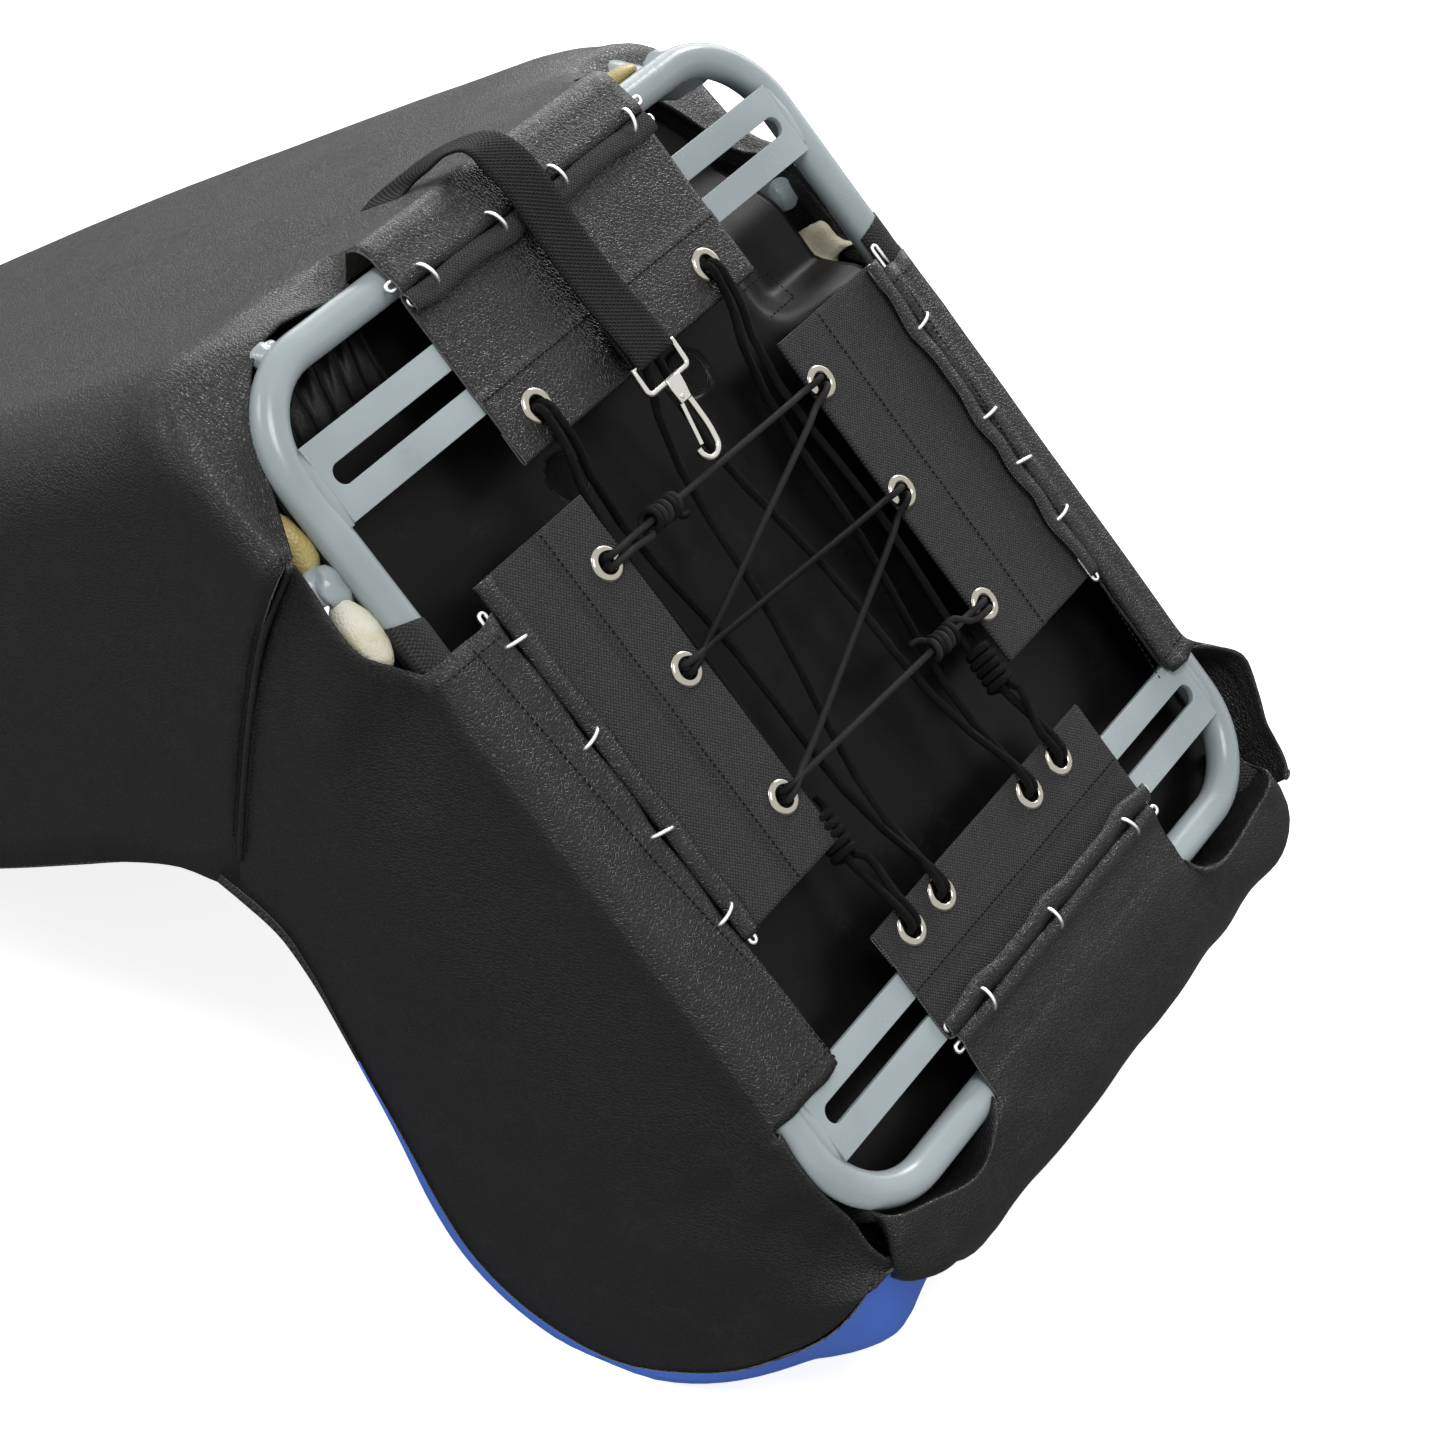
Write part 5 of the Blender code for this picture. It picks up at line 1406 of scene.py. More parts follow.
def flap_keys(spec):
    """Section of a flap from the cut end of its sleeve round the wire to its inner edge."""
    r, inner = spec["ring_line"], spec["inner"]
    keys = [(r + 11.5, 5.6), (r + 8, 6.4), (r + 4.5, 6.2), (r + 1.6, 4.6), (r + 1.4, 2.8), (r + 4, 1.9),
            (r + 9, 1.7)]
    flat = inner - 40 - (r + 12)
    count = max(2, int(flat / 3))
    keys += [(r + 12 + flat * i / count, 1.7) for i in range(count + 1)]
    keys += [(inner - 38.6, 2.4)]
    keys += [(inner - 37 + 36 * i / 12, 2.4) for i in range(13)]
    return keys + [(inner + 0.4, 2.2), (inner + 1.3, 1.0), (inner + 0.8, -0.5), (inner - 1.5, -1.2),
                   (inner - 6, -0.9), (inner - 12, -0.5), (inner - 18, -0.3)]


def make_flaps(settings):
    for side_name, spec in SIDES.items():
        place = side_place(side_name)
        keys = flap_keys(spec)
        start, end = spec["flap"]
        count = int((end - start) / FLAP_STEP)
        columns = []
        for i in range(count + 1):
            along = start + (end - start) * i / count
            puff = gather(along, spec["rings"])
            curl = 0.9 * max(0.0, (abs(2 * i / count - 1) - 0.86) / 0.14)
            column = []
            for n, (d, z) in enumerate(keys):
                share = max(0.0, 1 - n / 6)
                wave = 0.6 * noise.noise((along / 24, d / 26, len(side_name)))
                lift = curl * max(0.0, n / len(keys) - 0.4)
                inward = d + (1.6 - 2.4 * puff) * share
                height = z + (puff - 0.6) * share + max(wave, -0.1) + lift
                column.append(place(inward, height, along))
            columns.append(column)
        bm = cover_grid(columns)
        for along in spec["eyelets"]:
            punch(bm, place(spec["eyelet_in"], 0, along), EYELET_HOLE)
        bm.normal_update()
        flat = [f for f in bm.faces if abs(f.normal.z) > 0.9]
        if flat[len(flat) // 2].normal.z < 0:
            bmesh.ops.reverse_faces(bm, faces=bm.faces)
        face, slot = ("smooth", "black_vinyl") if side_name == "rear" else ("woven", "woven_backing")
        lay_sheet(side_name + "_laced_flap", bm, cover_stack(settings, face), [side_name + "_flap"], slot,
                  FLAP_THICK)


def wire_path(line, span, place, toward):
    """A listing wire with a hairpin at each end."""
    near, far = line, line + toward * 2 * WIRE_TURN
    mid = (near + far) / 2
    start, end = span[0] - 3.0, span[1] + 3.0
    angles = [i * math.pi / 8 for i in range(9)]
    hairpin = [(mid - toward * WIRE_TURN * math.cos(a), WIRE_TURN * math.sin(a)) for a in angles]
    path = [(far, start + WIRE_LEG)] + [(d, start - s) for d, s in reversed(hairpin)]
    path += [(near, start + (end - start) * i / 12) for i in range(1, 12)]
    path += [(d, end + s) for d, s in hairpin] + [(far, end - WIRE_LEG)]
    return [place(d, 3.6, along) for d, along in path]


def ring_path(spec, place, along, lean):
    """A hog ring clenched round both sleeves, its points left open underneath."""
    points = []
    for i in range(21):
        t = math.radians(RING_START + RING_SWEEP * i / 20)
        d = RING_HALF * math.cos(t)
        points.append(place(spec["ring_line"] + d, RING_RISE + RING_RISE * math.sin(t), along + d * lean))
    return points


def make_rings():
    zinc = finishes().metal("zinc_wire", (0.93, 0.93, 0.92), 0.32)
    for side_name, spec in SIDES.items():
        place = side_place(side_name)
        line = spec["ring_line"]
        inside = (spec["flap"][0] + 6.0, spec["flap"][1] - 1.0)
        wires = [wire_path(line - 3.6, spec["hem"], place, -1), wire_path(line + 3.6, inside, place, 1)]
        bm = rod(wires, WIRE_R, sides=10)
        rings = [ring_path(spec, place, along, 0.28 * math.sin(along * 1.7)) for along in spec["rings"]]
        add_to(bm, rod(rings, RING_R, sides=10))
        name = side_name + "_hog_rings_and_wires"
        finish_piece(side_name + "_rings_and_wires", bm, zinc, [name], "zinc_wire")


# Section of an eyelet: (radius, height)
EYELET_SECTION = (
    (9.75, 2.0), (9.5, 2.7), (8.6, 3.3), (7.4, 3.6), (6.2, 3.5), (5.3, 3.0), (4.9, 2.2), (4.9, -0.4),
    (5.2, -0.7), (8.2, -0.7), (8.2, -0.4), (5.7, -0.1), (5.6, 1.6), (6.4, 1.8), (9.4, 1.8),
)


def make_eyelets():
    nickel = finishes().metal("nickel_eyelet", (0.46, 0.43, 0.37), 0.14)
    for side_name, spec in SIDES.items():
        place = side_place(side_name)
        bm = bmesh.new()
        for along in spec["eyelets"]:
            loop = [bm.verts.new((r, 0.0, z + 0.4)) for r, z in EYELET_SECTION]
            edges = [bm.edges.new((a, b)) for a, b in zip(loop, loop[1:] + loop[:1])]
            bmesh.ops.spin(bm, geom=loop + edges, axis=(0, 0, 1), angle=math.tau, steps=40, use_merge=True)
            new = [v for v in bm.verts if v.co.length < 30 and not v.tag]
            for vert in new:
                vert.co += place(spec["eyelet_in"], 0.0, along)
                vert.tag = True
        bmesh.ops.remove_doubles(bm, verts=bm.verts, dist=0.001)
        bmesh.ops.recalc_face_normals(bm, faces=bm.faces)
        nodes = ["%s_eyelet_%d" % (side_name, n + 1) for n in range(len(spec["eyelets"]))]
        finish_piece(side_name + "_eyelets", bm, nickel, nodes, "nickel", angle=50)


# Lacing
# Eyelets that a lace passes through, by side and number
CROSS_STOPS = (("left", 0), ("right", 0), ("left", 1), ("right", 1), ("left", 2), ("right", 2))
LONG_STOPS = (("front", 0), ("rear", 0), ("front", 1), ("rear", 1), ("front", 2), ("rear", 2), ("front", 3))
STRAND_OFFSET = 2.4
EYELET_TOP = 4.2
FLAP_TOP = 2.9


def eyelet_centre(side_name, index):
    spec = SIDES[side_name]
    return side_place(side_name)(spec["eyelet_in"], 0.0, spec["eyelets"][index])


def edge_distance(side_name):
    return SIDES[side_name]["inner"] - SIDES[side_name]["eyelet_in"]


def flat_direction(start, end):
    return Vector((end.x - start.x, end.y - start.y, 0.0)).normalized()


def beside(direction):
    return Vector((-direction.y, direction.x, 0.0))


def over_rim(centre, direction, offset, radius, edge):
    """From under the eyelet up through its hole, over its rim and past the flap's edge."""
    rim = EYELET_TOP + radius
    steps = ((0.0, -1.5), (1.2, rim - 1.2), (4.0, rim + 0.2), (11.0, rim), (edge + 5.0, FLAP_TOP + radius))
    return [centre + beside(direction) * offset + direction * run + UP * height for run, height in steps]


def under_turn(centre, first, second, offset):
    """The bend below an eyelet between the strand that comes in and the one that goes out."""
    a = centre - beside(first) * offset
    b = centre + beside(second) * offset
    half = (b - a) / 2
    middle = (a + b) / 2 - UP * 1.5
    return [middle - half * math.cos(t) - UP * half.length * math.sin(t) for t in (1.05, 2.09)]


def knot_turns(start, direction, height, radius, turns):
    """Turns of a lace round its own strand, ending in a tail."""
    across = beside(direction)
    coil = 2 * radius + 1.3
    points = []
    for i in range(8 * turns + 1):
        t = math.radians(180 + 45 * i)
        wide = coil + 1.1 * noise.noise((i / 5, radius, start.x / 40))
        along = start + direction * (i * (2 * radius + 0.5) / 8 + 1.6 * math.sin(t + 1.0))
        points.append(along + across * (wide * math.cos(t)) + UP * (height + wide * math.sin(t)))
    tail = points[-1] - across * 3.0 + direction * 3.0 - UP * 2.0
    return points + [tail, tail - across * 1.0 + direction * 6.0 - UP * 2.0]


def lace_line(stops, radius, level, edge_run, turns):
    """The whole of a lace, from the knot at its first eyelet to the knot at its last."""
    centres = [eyelet_centre(*stop) for stop in stops]
    edges = [edge_distance(stop[0]) for stop in stops]
    path = []
    for i in range(len(centres) - 1):
        start, end = centres[i], centres[i + 1]
        going = flat_direction(start, end)
        if i:
            path += under_turn(start, flat_direction(start, centres[i - 1]), going, STRAND_OFFSET)
        length = (end - start).length
        path += over_rim(start, going, STRAND_OFFSET, radius, edges[i])
        for mark in (edge_run, 0.5 * length, length - edge_run):
            path.append(start + beside(going) * STRAND_OFFSET + going * mark + UP * level)
        path += list(reversed(over_rim(end, -going, -STRAND_OFFSET, radius, edges[i + 1])))
    first = flat_direction(centres[0], centres[1])
    last = flat_direction(centres[-1], centres[-2])
    first_knot = centres[0] + beside(first) * STRAND_OFFSET + first * (edge_run + 4)
    last_knot = centres[-1] - beside(last) * STRAND_OFFSET + last * (edge_run + 4)
    head = under_turn(centres[0], first, first, STRAND_OFFSET)
    head += over_rim(centres[0], first, -STRAND_OFFSET, radius, edges[0])
    head += knot_turns(first_knot, first, level, radius, turns)
    foot = list(reversed(under_turn(centres[-1], last, last, STRAND_OFFSET)))
    foot += over_rim(centres[-1], last, STRAND_OFFSET, radius, edges[-1])
    foot += knot_turns(last_knot, last, level, radius, turns)
    return list(reversed(head)) + path + foot


def make_laces(settings):
    shop = finishes()
    ribbed = shop.cord("ribbed_lace", settings.colour, along=0.0, around=7.0, depth=0.0006)
    braided = shop.cord("braided_lace", settings.colour, along=620.0, around=4.0, depth=0.0007)
    radius = half_mm(settings.cross)
    line = smooth_line(lace_line(CROSS_STOPS, radius, level=5.6, edge_run=30.0, turns=5), 4)
    finish_piece("lace_across", rod([line], radius, sides=12), ribbed, ["cross_lace"], "lace")
    radius = half_mm(settings.long)
    line = smooth_line(lace_line(LONG_STOPS, radius, level=-3.2, edge_run=44.0, turns=5), 4)
    finish_piece("lace_along", rod([line], radius, sides=12), braided, ["long_lace"], "lace")


# Tie-down strap
HOOK_Y = 3.0
EYE_BAR = Vector((-143.0, HOOK_Y, 12.4))
LOOP_R = 2.5
# The strap leaves its slit, turns level over the rear edge and runs on to the hook. Each point of the turn
# has the share of it that is done.
STRAP_SLIT = (48, 0, -30)
STRAP_TURN = ((back_point(32, -7, -14), 0.2), (back_point(13, -11, -5), 0.5), ((-278, 0.5, 8.0), 0.8))
STRAP_EDGE = (-264, 2, 13.0)
STRAP_RUN = ((-246, 14.0), (-228, 12.6), (-205, 11.6), (-180, 12.2))


def strap_stations():
    """Centres of the strap and the directions of its width, from the slit to the end of its sewn loop."""
    along_back = back_point(1, 0, 0) - back_point(0, 0, 0)
    off = back_point(0, -1, 0) - back_point(0, 0, 0)
    slit = back_point(*STRAP_SLIT)
    wide = Vector((0, 1, 0))
    stations = [(slit + off * 0.5, along_back), (slit + off * 2.2 + wide * 8, along_back)]
    for spot, turn in STRAP_TURN:
        stations.append((Vector(spot), mix(along_back, wide, turn).normalized()))
    stations.append((Vector(STRAP_EDGE), wide))
    for x, z in STRAP_RUN:
        stations.append((Vector((x, HOOK_Y, z)), wide))
    stations.append((EYE_BAR + Vector((-5, 0, LOOP_R)), wide))
    for angle in (90, 50, 10, -30, -60, -90):
        t = math.radians(angle)
        stations.append((EYE_BAR + Vector((LOOP_R * math.cos(t), 0, LOOP_R * math.sin(t))), wide))
    return stations + [(EYE_BAR + Vector((x, 0, -LOOP_R)), wide) for x in (-8, -26)]


def make_strap(settings):
    half = half_mm(settings.strap)
    stations = strap_stations()
    centres = smooth_line([c for c, w in stations], 5)
    widths = [w.normalized() for w in smooth_line([w for c, w in stations], 5)]
    columns = [[c + w * (half * (n / 4 - 1)) for n in range(9)] for c, w in zip(centres, widths)]
    bm = cover_grid(columns)
    face_away(bm, (-150, 3, -100))
    webbing = finishes().cord("black_webbing", settings.colour, along=260.0, around=430.0, depth=0.0005)
    finish_piece("strap", bm, webbing, ["tie_down_strap"], "webbing", thickness=0.0015)


# Snap hook
HOOK_PLACE = LYING @ Matrix.Translation(EYE_BAR * 0.001) @ Matrix.Rotation(math.radians(2.6), 4, "Y")
HOOK_MM = HOOK_PLACE @ Matrix.Scale(0.001, 4)
GATE_PIVOT = Vector((25.0, -1.5, 0.0))
GATE_TIP = Vector((51.5, -7.2, 0.0))
EYE_HALF = 17.2
EYE_R = 1.8
PRONG = ((14, 3.0), (34, 4.6), (50, 4.0), (56, 2.2), (58.8, -2.6), (58.4, -7.0), (55, -10.2), (51, -10.8))
PRONG_R = 1.9
SHANK = ((13.8, -4.6), (20, -4.6), (28, -4.0), (28.4, 4.4), (21, 6.2), (13.8, 6.6))
SHANK_THICK = 5.6
GATE_R = 1.4
PIN_R = 0.9
PIN_HALF = 3.0


def make_hook():
    nickel = finishes().metal("nickel_hook", (0.66, 0.645, 0.6), 0.2)
    eye = [(0, -EYE_HALF, 0), (0, 0, 0), (0, EYE_HALF, 0)]
    eye += [(x, y, 0) for x, y in arc((12, EYE_HALF - 3), 3, 90, 0, 5)]
    eye += [(x, y, 0) for x, y in arc((12, 3 - EYE_HALF), 3, 0, -90, 5)]
    body = rod([eye], EYE_R, cyclic=True, sides=16)
    prong = smooth_line([(x, y, 0) for x, y in PRONG], 6)
    add_to(body, rod([prong], PRONG_R, sides=14))
    slab = flat_plate([SHANK], SHANK_THICK, 0.9)
    bmesh.ops.translate(slab, verts=slab.verts, vec=(0, 0, SHANK_THICK / 2))
    add_to(body, slab)
    finish_piece("hook_body", body, nickel, ["snap_hook_body"], "nickel", "hook", HOOK_MM, angle=50)
    run = (GATE_TIP - GATE_PIVOT).normalized()
    gate = rod([[GATE_PIVOT, GATE_TIP - run * 1.2]], GATE_R, sides=14)
    add_to(gate, rod([[GATE_PIVOT - UP * 1.4, GATE_PIVOT + UP * 1.4]], 2.2, sides=16))
    finish_piece("hook_gate", gate, nickel, ["snap_hook_gate"], "nickel", "gate", HOOK_MM, angle=50)
    pin = rod([[GATE_PIVOT - UP * PIN_HALF, GATE_PIVOT + UP * PIN_HALF]], PIN_R, sides=12)
    for end in (-PIN_HALF, PIN_HALF):
        lump(pin, (GATE_PIVOT.x, GATE_PIVOT.y, end), (1.3, 1.3, 0.5), 0.0)
    finish_piece("hook_pin", pin, nickel, ["gate_pin"], "nickel", "hook", HOOK_MM, angle=50)


# Woven wraps on the tube behind the side hems, and the stitching
WRAP_R = 10.3
WRAP_THICK = 0.001               # metres
TUBE_Z = -9.5                    # height of the tube's axis
HEM_STITCHES = (((-92, 192), (40, 184)), ((40, 184), (174, 171)), ((-88, 214), (-88, 176)),
                ((168, 213), (168, 173)))
FRONT_STITCHES = ((233, -94), (233, 100))
FLAP_STITCHES = 35.5             # from a flap's inner edge
SEAM_STITCHES = 5.2              # to either side of the piped seam
PATCH_STITCHES = ((-134, 145), (-134, 103), (-114, 102), (-114, 152), (-134, 145))


def make_wraps(settings):
    woven = cover_stack(settings, "woven")
    for side, word in SIDE_WORDS:
        columns = []
        for i in range(25):
            t = math.radians(205 - 190 * i / 24)
            y = side * (HALF_WIDTH - WRAP_R * math.cos(t))
            z = WRAP_R * math.sin(t) + TUBE_Z
            start = -126 + 10 * i / 24
            columns.append([Vector((start + (-94 - start) * n / 10, y, z)) for n in range(11)])
        bm = cover_grid(columns)
        face_away(bm, (-105, side * HALF_WIDTH, TUBE_Z))
        ruffle(bm, 0.3, 9.0, 3.0)
        lay_sheet(word + "_tube_wrap", bm, woven, [], "woven_backing", WRAP_THICK)


def straight(start, end, height):
    """A line between two points of the base, with its normals; its height is a function of the point."""
    line = []
    for i in range(25):
        spot = mix((*start, 0), (*end, 0), i / 24)
        spot.z = height(spot)
        line.append((spot, UP))
    return line


def level(height):
    return lambda spot: height


def on_hem(side_name):
    """A little above the face of a side hem."""
    return lambda spot: hem_height(side_name, HALF_WIDTH - abs(spot.y)) + 0.1


def make_stitches(settings):
    lines = []
    for side, word in SIDE_WORDS:
        for (x0, y0), (x1, y1) in HEM_STITCHES:
            lines.append(straight((x0, side * y0), (x1, side * y1), on_hem(word)))
    lines.append(straight(*FRONT_STITCHES, level(2.9)))
    for side_name, spec in SIDES.items():
        place = side_place(side_name)
        start, end = spec["flap"]
        first = place(spec["inner"] - FLAP_STITCHES, 0, start + 1)
        last = place(spec["inner"] - FLAP_STITCHES, 0, end - 1)
        lines.append(straight(first.xy, last.xy, level(2.75)))
    for side in (LEFT, RIGHT):
        for (x0, y0), (x1, y1) in zip(PATCH_STITCHES, PATCH_STITCHES[1:]):
            lines.append(straight((x0, side * y0), (x1, side * y1), level(LINING_Z + 1.2)))
        seam = smooth_line([(x, side * (SIDE_Y + 0.9), z) for x, z in SEAM], 12)
        for offset in (-SEAM_STITCHES, SEAM_STITCHES):
            lines.append([(p + Vector((offset, 0, -sag(p))), Vector((0, side, 0))) for p in seam[:-6]])
    bm = bmesh.new()
    for line in lines:
        stitch_line(bm, line, settings.stitch * 1000)
    thread = finishes().cord("black_thread", (0.006, 0.006, 0.006), along=3.0, around=2.0, depth=0.0001)
    finish_piece("stitches", bm, thread, [], "lace")


# Stage
FLOOR_HALF = 9.0                 # metres
FLOOR_GLOW = 0.8                 # glow of the floor for what the camera sees
FLOOR_GLOSS = 0.16               # shade of the floor in reflections
WORLD_LIGHT = 0.38               # strength at which the world lights the seat; it is seen at full strength
# Lamps: name, direction of the light, spread in degrees, strength
LAMPS = (
    ("key", (-0.3, 0.2, -1.0), 26.0, 1.5),
    ("side", (0.8, 0.5, -0.8), 22.0, 0.6),
    ("rear", (0.15, -0.8, -0.55), 18.0, 0.9),
    ("backdrop", (0.4, -0.9, -0.15), 60.0, 1.7),
)
# Camera in the seat's own frame, its place in metres
CAMERA_PLACE = Vector((-0.24832, -1.13173, 1.21951))
CAMERA_RIGHT = Vector((0.5949, 0.5435, 0.5921))
CAMERA_AHEAD = Vector((0.1641, 0.6390, -0.7515))


def seen_rays(tree):
    """Whether a ray shows the stage to the camera, and whether it is a reflection."""
    path = node(tree, "ShaderNodeLightPath").outputs
    seen = math_node(tree, "MAXIMUM", path["Is Camera Ray"], path["Is Transmission Ray"])
    return seen, path["Is Glossy Ray"]


def make_floor(settings):
    bm = bmesh.new()
    bmesh.ops.create_grid(bm, x_segments=1, y_segments=1, size=FLOOR_HALF)
    floor = new_object("floor", new_mesh("floor", bm))
    material = bpy.data.materials.new("floor_white")
    material.use_nodes = True
    tree = material.node_tree
    shader = tree.nodes["Principled BSDF"].inputs
    shader["Roughness"].default_value = 0.9
    shader["Specular IOR Level"].default_value = 0.0
    shader["Emission Color"].default_value = (1.0, 1.0, 1.0, 1.0)
    seen, glossy = seen_rays(tree)
    tone = mixed(tree, glossy, (*settings.floor, 1.0), (FLOOR_GLOSS, FLOOR_GLOSS, FLOOR_GLOSS, 1.0))
    tree.links.new(tone, shader["Base Color"])
    tree.links.new(math_node(tree, "MULTIPLY", seen, FLOOR_GLOW), shader["Emission Strength"])
    floor.data.materials.append(material)


def make_world(settings):
    world = bpy.data.worlds.new("studio")
    bpy.context.scene.world = world
    world.use_nodes = True
    tree = world.node_tree
    back = tree.nodes["Background"].inputs
    back["Color"].default_value = (1.0, 1.0, 1.0, 1.0)
    shown = math_node(tree, "MAXIMUM", *seen_rays(tree))
    inputs = {"Value": shown, "To Min": WORLD_LIGHT * settings.light, "To Max": 1.0}
    strength = node(tree, "ShaderNodeMapRange", inputs)
    tree.links.new(strength.outputs["Result"], back["Strength"])


def make_lamps(settings):
    for name, aim, spread, strength in LAMPS:
        lamp = bpy.data.lights.new(name, "SUN")
        lamp.angle = math.radians(spread)
        lamp.energy = strength * settings.light
        new_object(name, lamp).rotation_euler = Vector(aim).to_track_quat("-Z", "Y").to_euler()


def make_camera(settings):
    camera = bpy.data.cameras.new("camera")
    camera.sensor_width = 36.0
    camera.lens = settings.lens
    holder = new_object("camera", camera)
    right = TURN @ CAMERA_RIGHT.normalized()
    ahead = TURN @ CAMERA_AHEAD.normalized()
    up = right.cross(ahead).normalized()
    right = ahead.cross(up).normalized()
    place = Matrix((right, up, -ahead)).transposed().to_4x4()
    place.translation = LYING @ CAMERA_PLACE
    holder.matrix_world = place
    bpy.context.scene.camera = holder


def make_stage(settings):
    make_floor(settings)
    make_world(settings)
    make_lamps(settings)
    make_camera(settings)
    bpy.context.scene.view_settings.view_transform = "Standard"


# Operators, panel and registration
class SEAT_OT_stage(bpy.types.Operator):
    """Lays the floor and sets the lights and the camera"""
    bl_idname = "bucket_seat.stage"
    bl_label = "Stage"

    def execute(self, context):
        make_stage(context.scene.seat_stage)
        return {"FINISHED"}


class SEAT_OT_frame(bpy.types.Operator):
    """Makes the painted tubes and cross bars"""
    bl_idname = "bucket_seat.frame"
    bl_label = "Frame"

    def execute(self, context):
        make_frame(context.scene.seat_frame)
        return {"FINISHED"}


class SEAT_OT_foam(bpy.types.Operator):
    """Makes the foam pads"""
    bl_idname = "bucket_seat.foam"
    bl_label = "Foam"

    def execute(self, context):
        make_foam()
        return {"FINISHED"}


class SEAT_OT_lining(bpy.types.Operator):
    """Stretches the lining under the cushion"""
    bl_idname = "bucket_seat.lining"
    bl_label = "Lining"

    def execute(self, context):
        make_lining(context.scene.seat_cover)
        return {"FINISHED"}


class SEAT_OT_back_cover(bpy.types.Operator):
    """Pulls the back cover over the backrest and hems it"""
    bl_idname = "bucket_seat.back_cover"
    bl_label = "Back cover"

    def execute(self, context):
        make_back_cover(context.scene.seat_cover)
        return {"FINISHED"}


class SEAT_OT_side_covers(bpy.types.Operator):
    """Pulls the side covers over the bolsters and hems them"""
    bl_idname = "bucket_seat.side_covers"
    bl_label = "Side covers"

    def execute(self, context):
        make_side_covers(context.scene.seat_cover)
        return {"FINISHED"}


class SEAT_OT_front_cover(bpy.types.Operator):
    """Pulls the front cover over the cushion and hems it"""
    bl_idname = "bucket_seat.front_cover"
    bl_label = "Front cover"

    def execute(self, context):
        make_front_cover(context.scene.seat_cover)
        return {"FINISHED"}


class SEAT_OT_facings(bpy.types.Operator):
    """Makes the facings of the bolsters and the wings"""
    bl_idname = "bucket_seat.facings"
    bl_label = "Facings"

    def execute(self, context):
        make_facings(context.scene.seat_cover)
        return {"FINISHED"}


class SEAT_OT_panels(bpy.types.Operator):
    """Makes the centre panels of the cushion and the backrest"""
    bl_idname = "bucket_seat.panels"
    bl_label = "Centre panels"

    def execute(self, context):
        make_panels(context.scene.seat_cover)
        return {"FINISHED"}


class SEAT_OT_piping(bpy.types.Operator):
    """Sews the piping into the seams"""
    bl_idname = "bucket_seat.piping"
    bl_label = "Piping"

    def execute(self, context):
        make_piping(context.scene.seat_cover)
        return {"FINISHED"}


class SEAT_OT_flaps(bpy.types.Operator):
    """Makes the four laced flaps"""
    bl_idname = "bucket_seat.flaps"
    bl_label = "Flaps"

    def execute(self, context):
        make_flaps(context.scene.seat_cover)
        return {"FINISHED"}


class SEAT_OT_rings(bpy.types.Operator):
    """Clenches the hog rings round the listing wires"""
    bl_idname = "bucket_seat.rings"
    bl_label = "Rings and wires"

    def execute(self, context):
        make_rings()
        return {"FINISHED"}


class SEAT_OT_eyelets(bpy.types.Operator):
    """Sets the eyelets into the flaps"""
    bl_idname = "bucket_seat.eyelets"
    bl_label = "Eyelets"

    def execute(self, context):
        make_eyelets()
        return {"FINISHED"}


class SEAT_OT_laces(bpy.types.Operator):
    """Threads and knots the two laces"""
    bl_idname = "bucket_seat.laces"
    bl_label = "Laces"

    def execute(self, context):
        make_laces(context.scene.seat_lacing)
        return {"FINISHED"}


class SEAT_OT_strap(bpy.types.Operator):
    """Lays the tie-down strap"""
    bl_idname = "bucket_seat.strap"
    bl_label = "Strap"

    def execute(self, context):
        make_strap(context.scene.seat_lacing)
        return {"FINISHED"}


class SEAT_OT_wraps(bpy.types.Operator):
    """Wraps the woven backing round the tube behind the side hems"""
    bl_idname = "bucket_seat.wraps"
    bl_label = "Tube wraps"

    def execute(self, context):
        make_wraps(context.scene.seat_cover)
        return {"FINISHED"}


class SEAT_OT_stitches(bpy.types.Operator):
    """Sews the lines of stitches"""
    bl_idname = "bucket_seat.stitches"
    bl_label = "Stitches"

    def execute(self, context):
        make_stitches(context.scene.seat_cover)
        return {"FINISHED"}


class SEAT_OT_hook(bpy.types.Operator):
    """Makes the snap hook, its gate and its pin"""
    bl_idname = "bucket_seat.hook"
    bl_label = "Snap hook"

    def execute(self, context):
        make_hook()
        return {"FINISHED"}


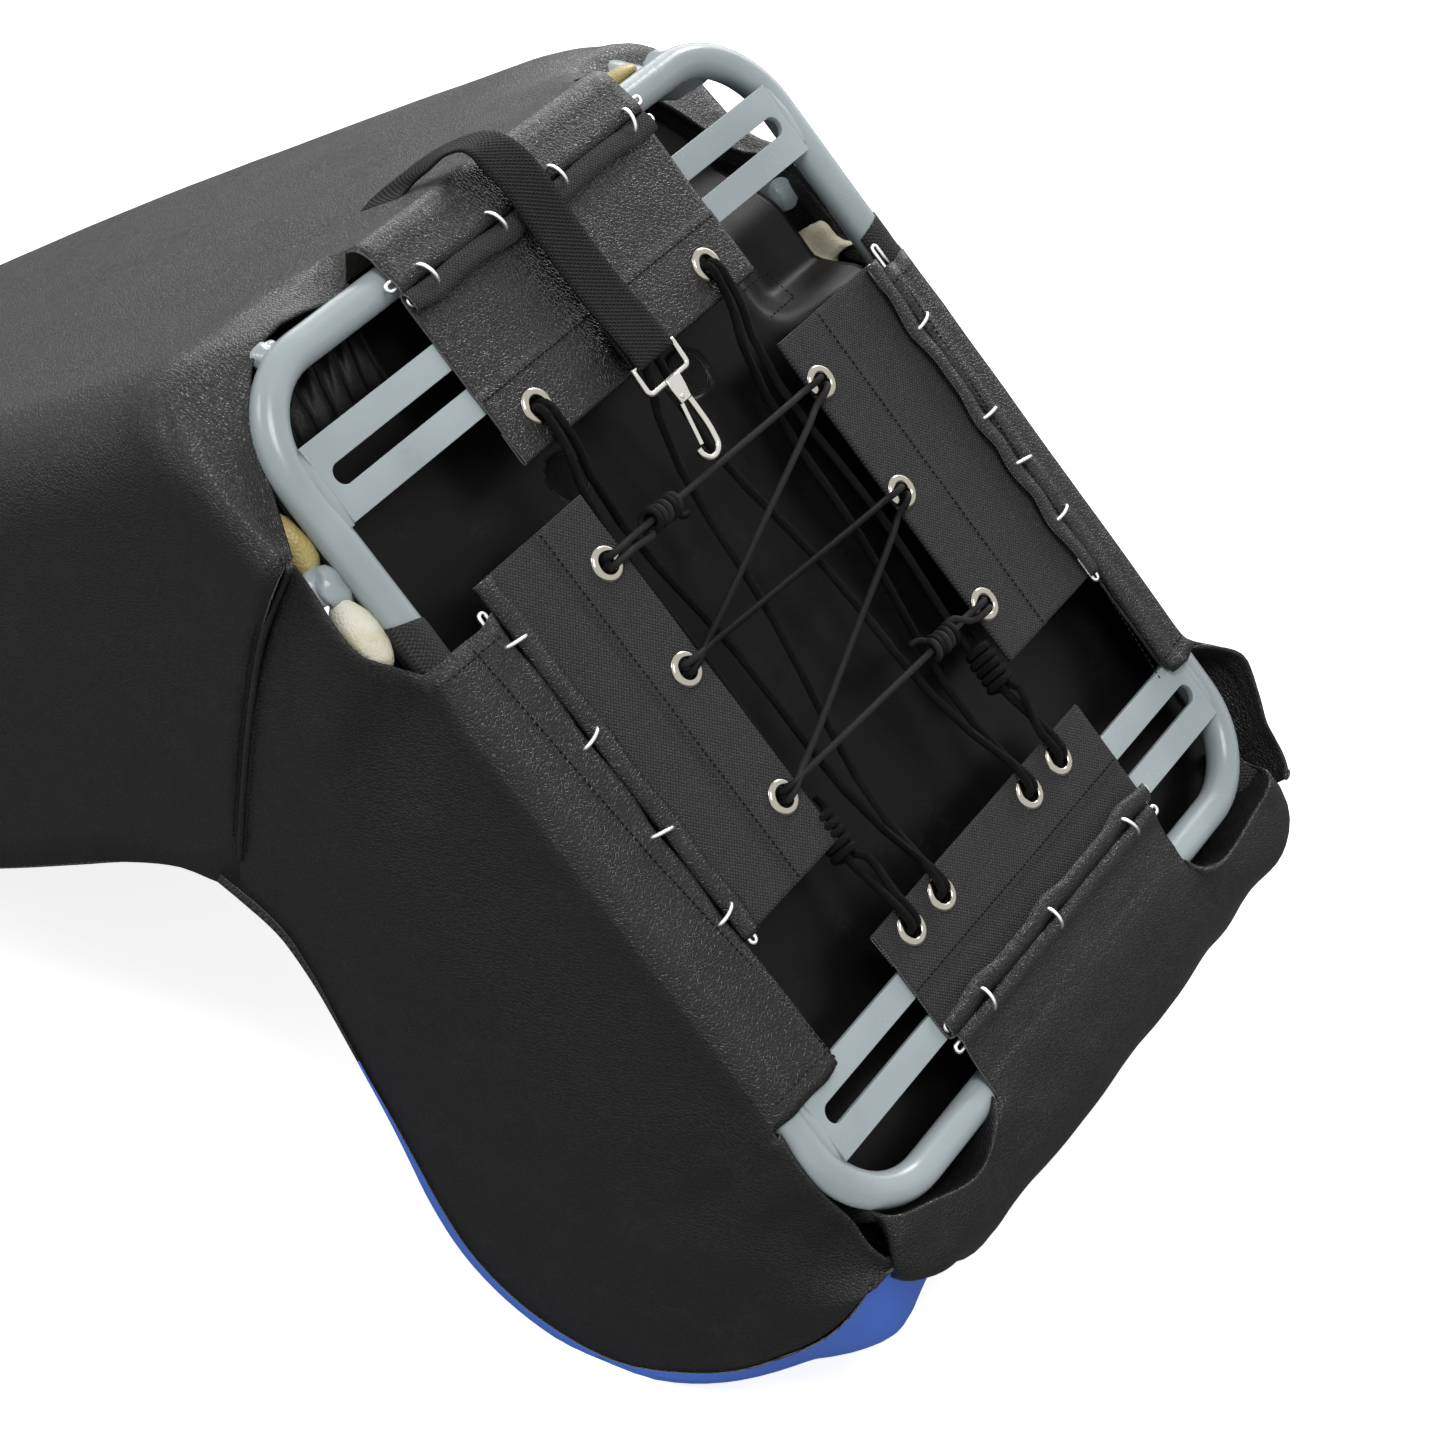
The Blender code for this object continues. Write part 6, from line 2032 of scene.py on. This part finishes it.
OPERATORS = (
    SEAT_OT_stage, SEAT_OT_frame, SEAT_OT_foam, SEAT_OT_lining, SEAT_OT_back_cover, SEAT_OT_side_covers,
    SEAT_OT_front_cover, SEAT_OT_facings, SEAT_OT_panels, SEAT_OT_piping, SEAT_OT_flaps, SEAT_OT_rings,
    SEAT_OT_eyelets, SEAT_OT_laces, SEAT_OT_strap, SEAT_OT_hook, SEAT_OT_wraps, SEAT_OT_stitches,
)


class SEAT_PT_panel(bpy.types.Panel):
    """Lists the pieces of the seat"""
    bl_idname = "SEAT_PT_panel"
    bl_label = "Bucket seat"
    bl_space_type = "VIEW_3D"
    bl_region_type = "UI"
    bl_category = "Bucket seat"

    def draw(self, context):
        for settings in (context.scene.seat_cover, context.scene.seat_frame, context.scene.seat_lacing,
                         context.scene.seat_stage):
            for key in settings.__annotations__:
                self.layout.prop(settings, key)
        for operator in OPERATORS:
            self.layout.operator(operator.bl_idname)


SETTINGS = (("seat_cover", SeatCoverSettings), ("seat_frame", SeatFrameSettings),
            ("seat_lacing", SeatLacingSettings), ("seat_stage", SeatStageSettings))
CLASSES = tuple(group for name, group in SETTINGS) + OPERATORS + (SEAT_PT_panel,)


def register():
    for cls in CLASSES:
        bpy.utils.register_class(cls)
    for name, group in SETTINGS:
        setattr(bpy.types.Scene, name, bpy.props.PointerProperty(type=group))


def unregister():
    for name, group in reversed(SETTINGS):
        delattr(bpy.types.Scene, name)
    for cls in reversed(CLASSES):
        bpy.utils.unregister_class(cls)


def main():
    register()
    bpy.ops.bucket_seat.stage()
    bpy.ops.bucket_seat.frame()
    bpy.ops.bucket_seat.foam()
    bpy.ops.bucket_seat.lining()
    bpy.ops.bucket_seat.back_cover()
    bpy.ops.bucket_seat.side_covers()
    bpy.ops.bucket_seat.front_cover()
    bpy.ops.bucket_seat.facings()
    bpy.ops.bucket_seat.panels()
    bpy.ops.bucket_seat.piping()
    bpy.ops.bucket_seat.flaps()
    bpy.ops.bucket_seat.rings()
    bpy.ops.bucket_seat.eyelets()
    bpy.ops.bucket_seat.laces()
    bpy.ops.bucket_seat.strap()
    bpy.ops.bucket_seat.hook()
    bpy.ops.bucket_seat.wraps()
    bpy.ops.bucket_seat.stitches()


if __name__ == "__main__":
    main()
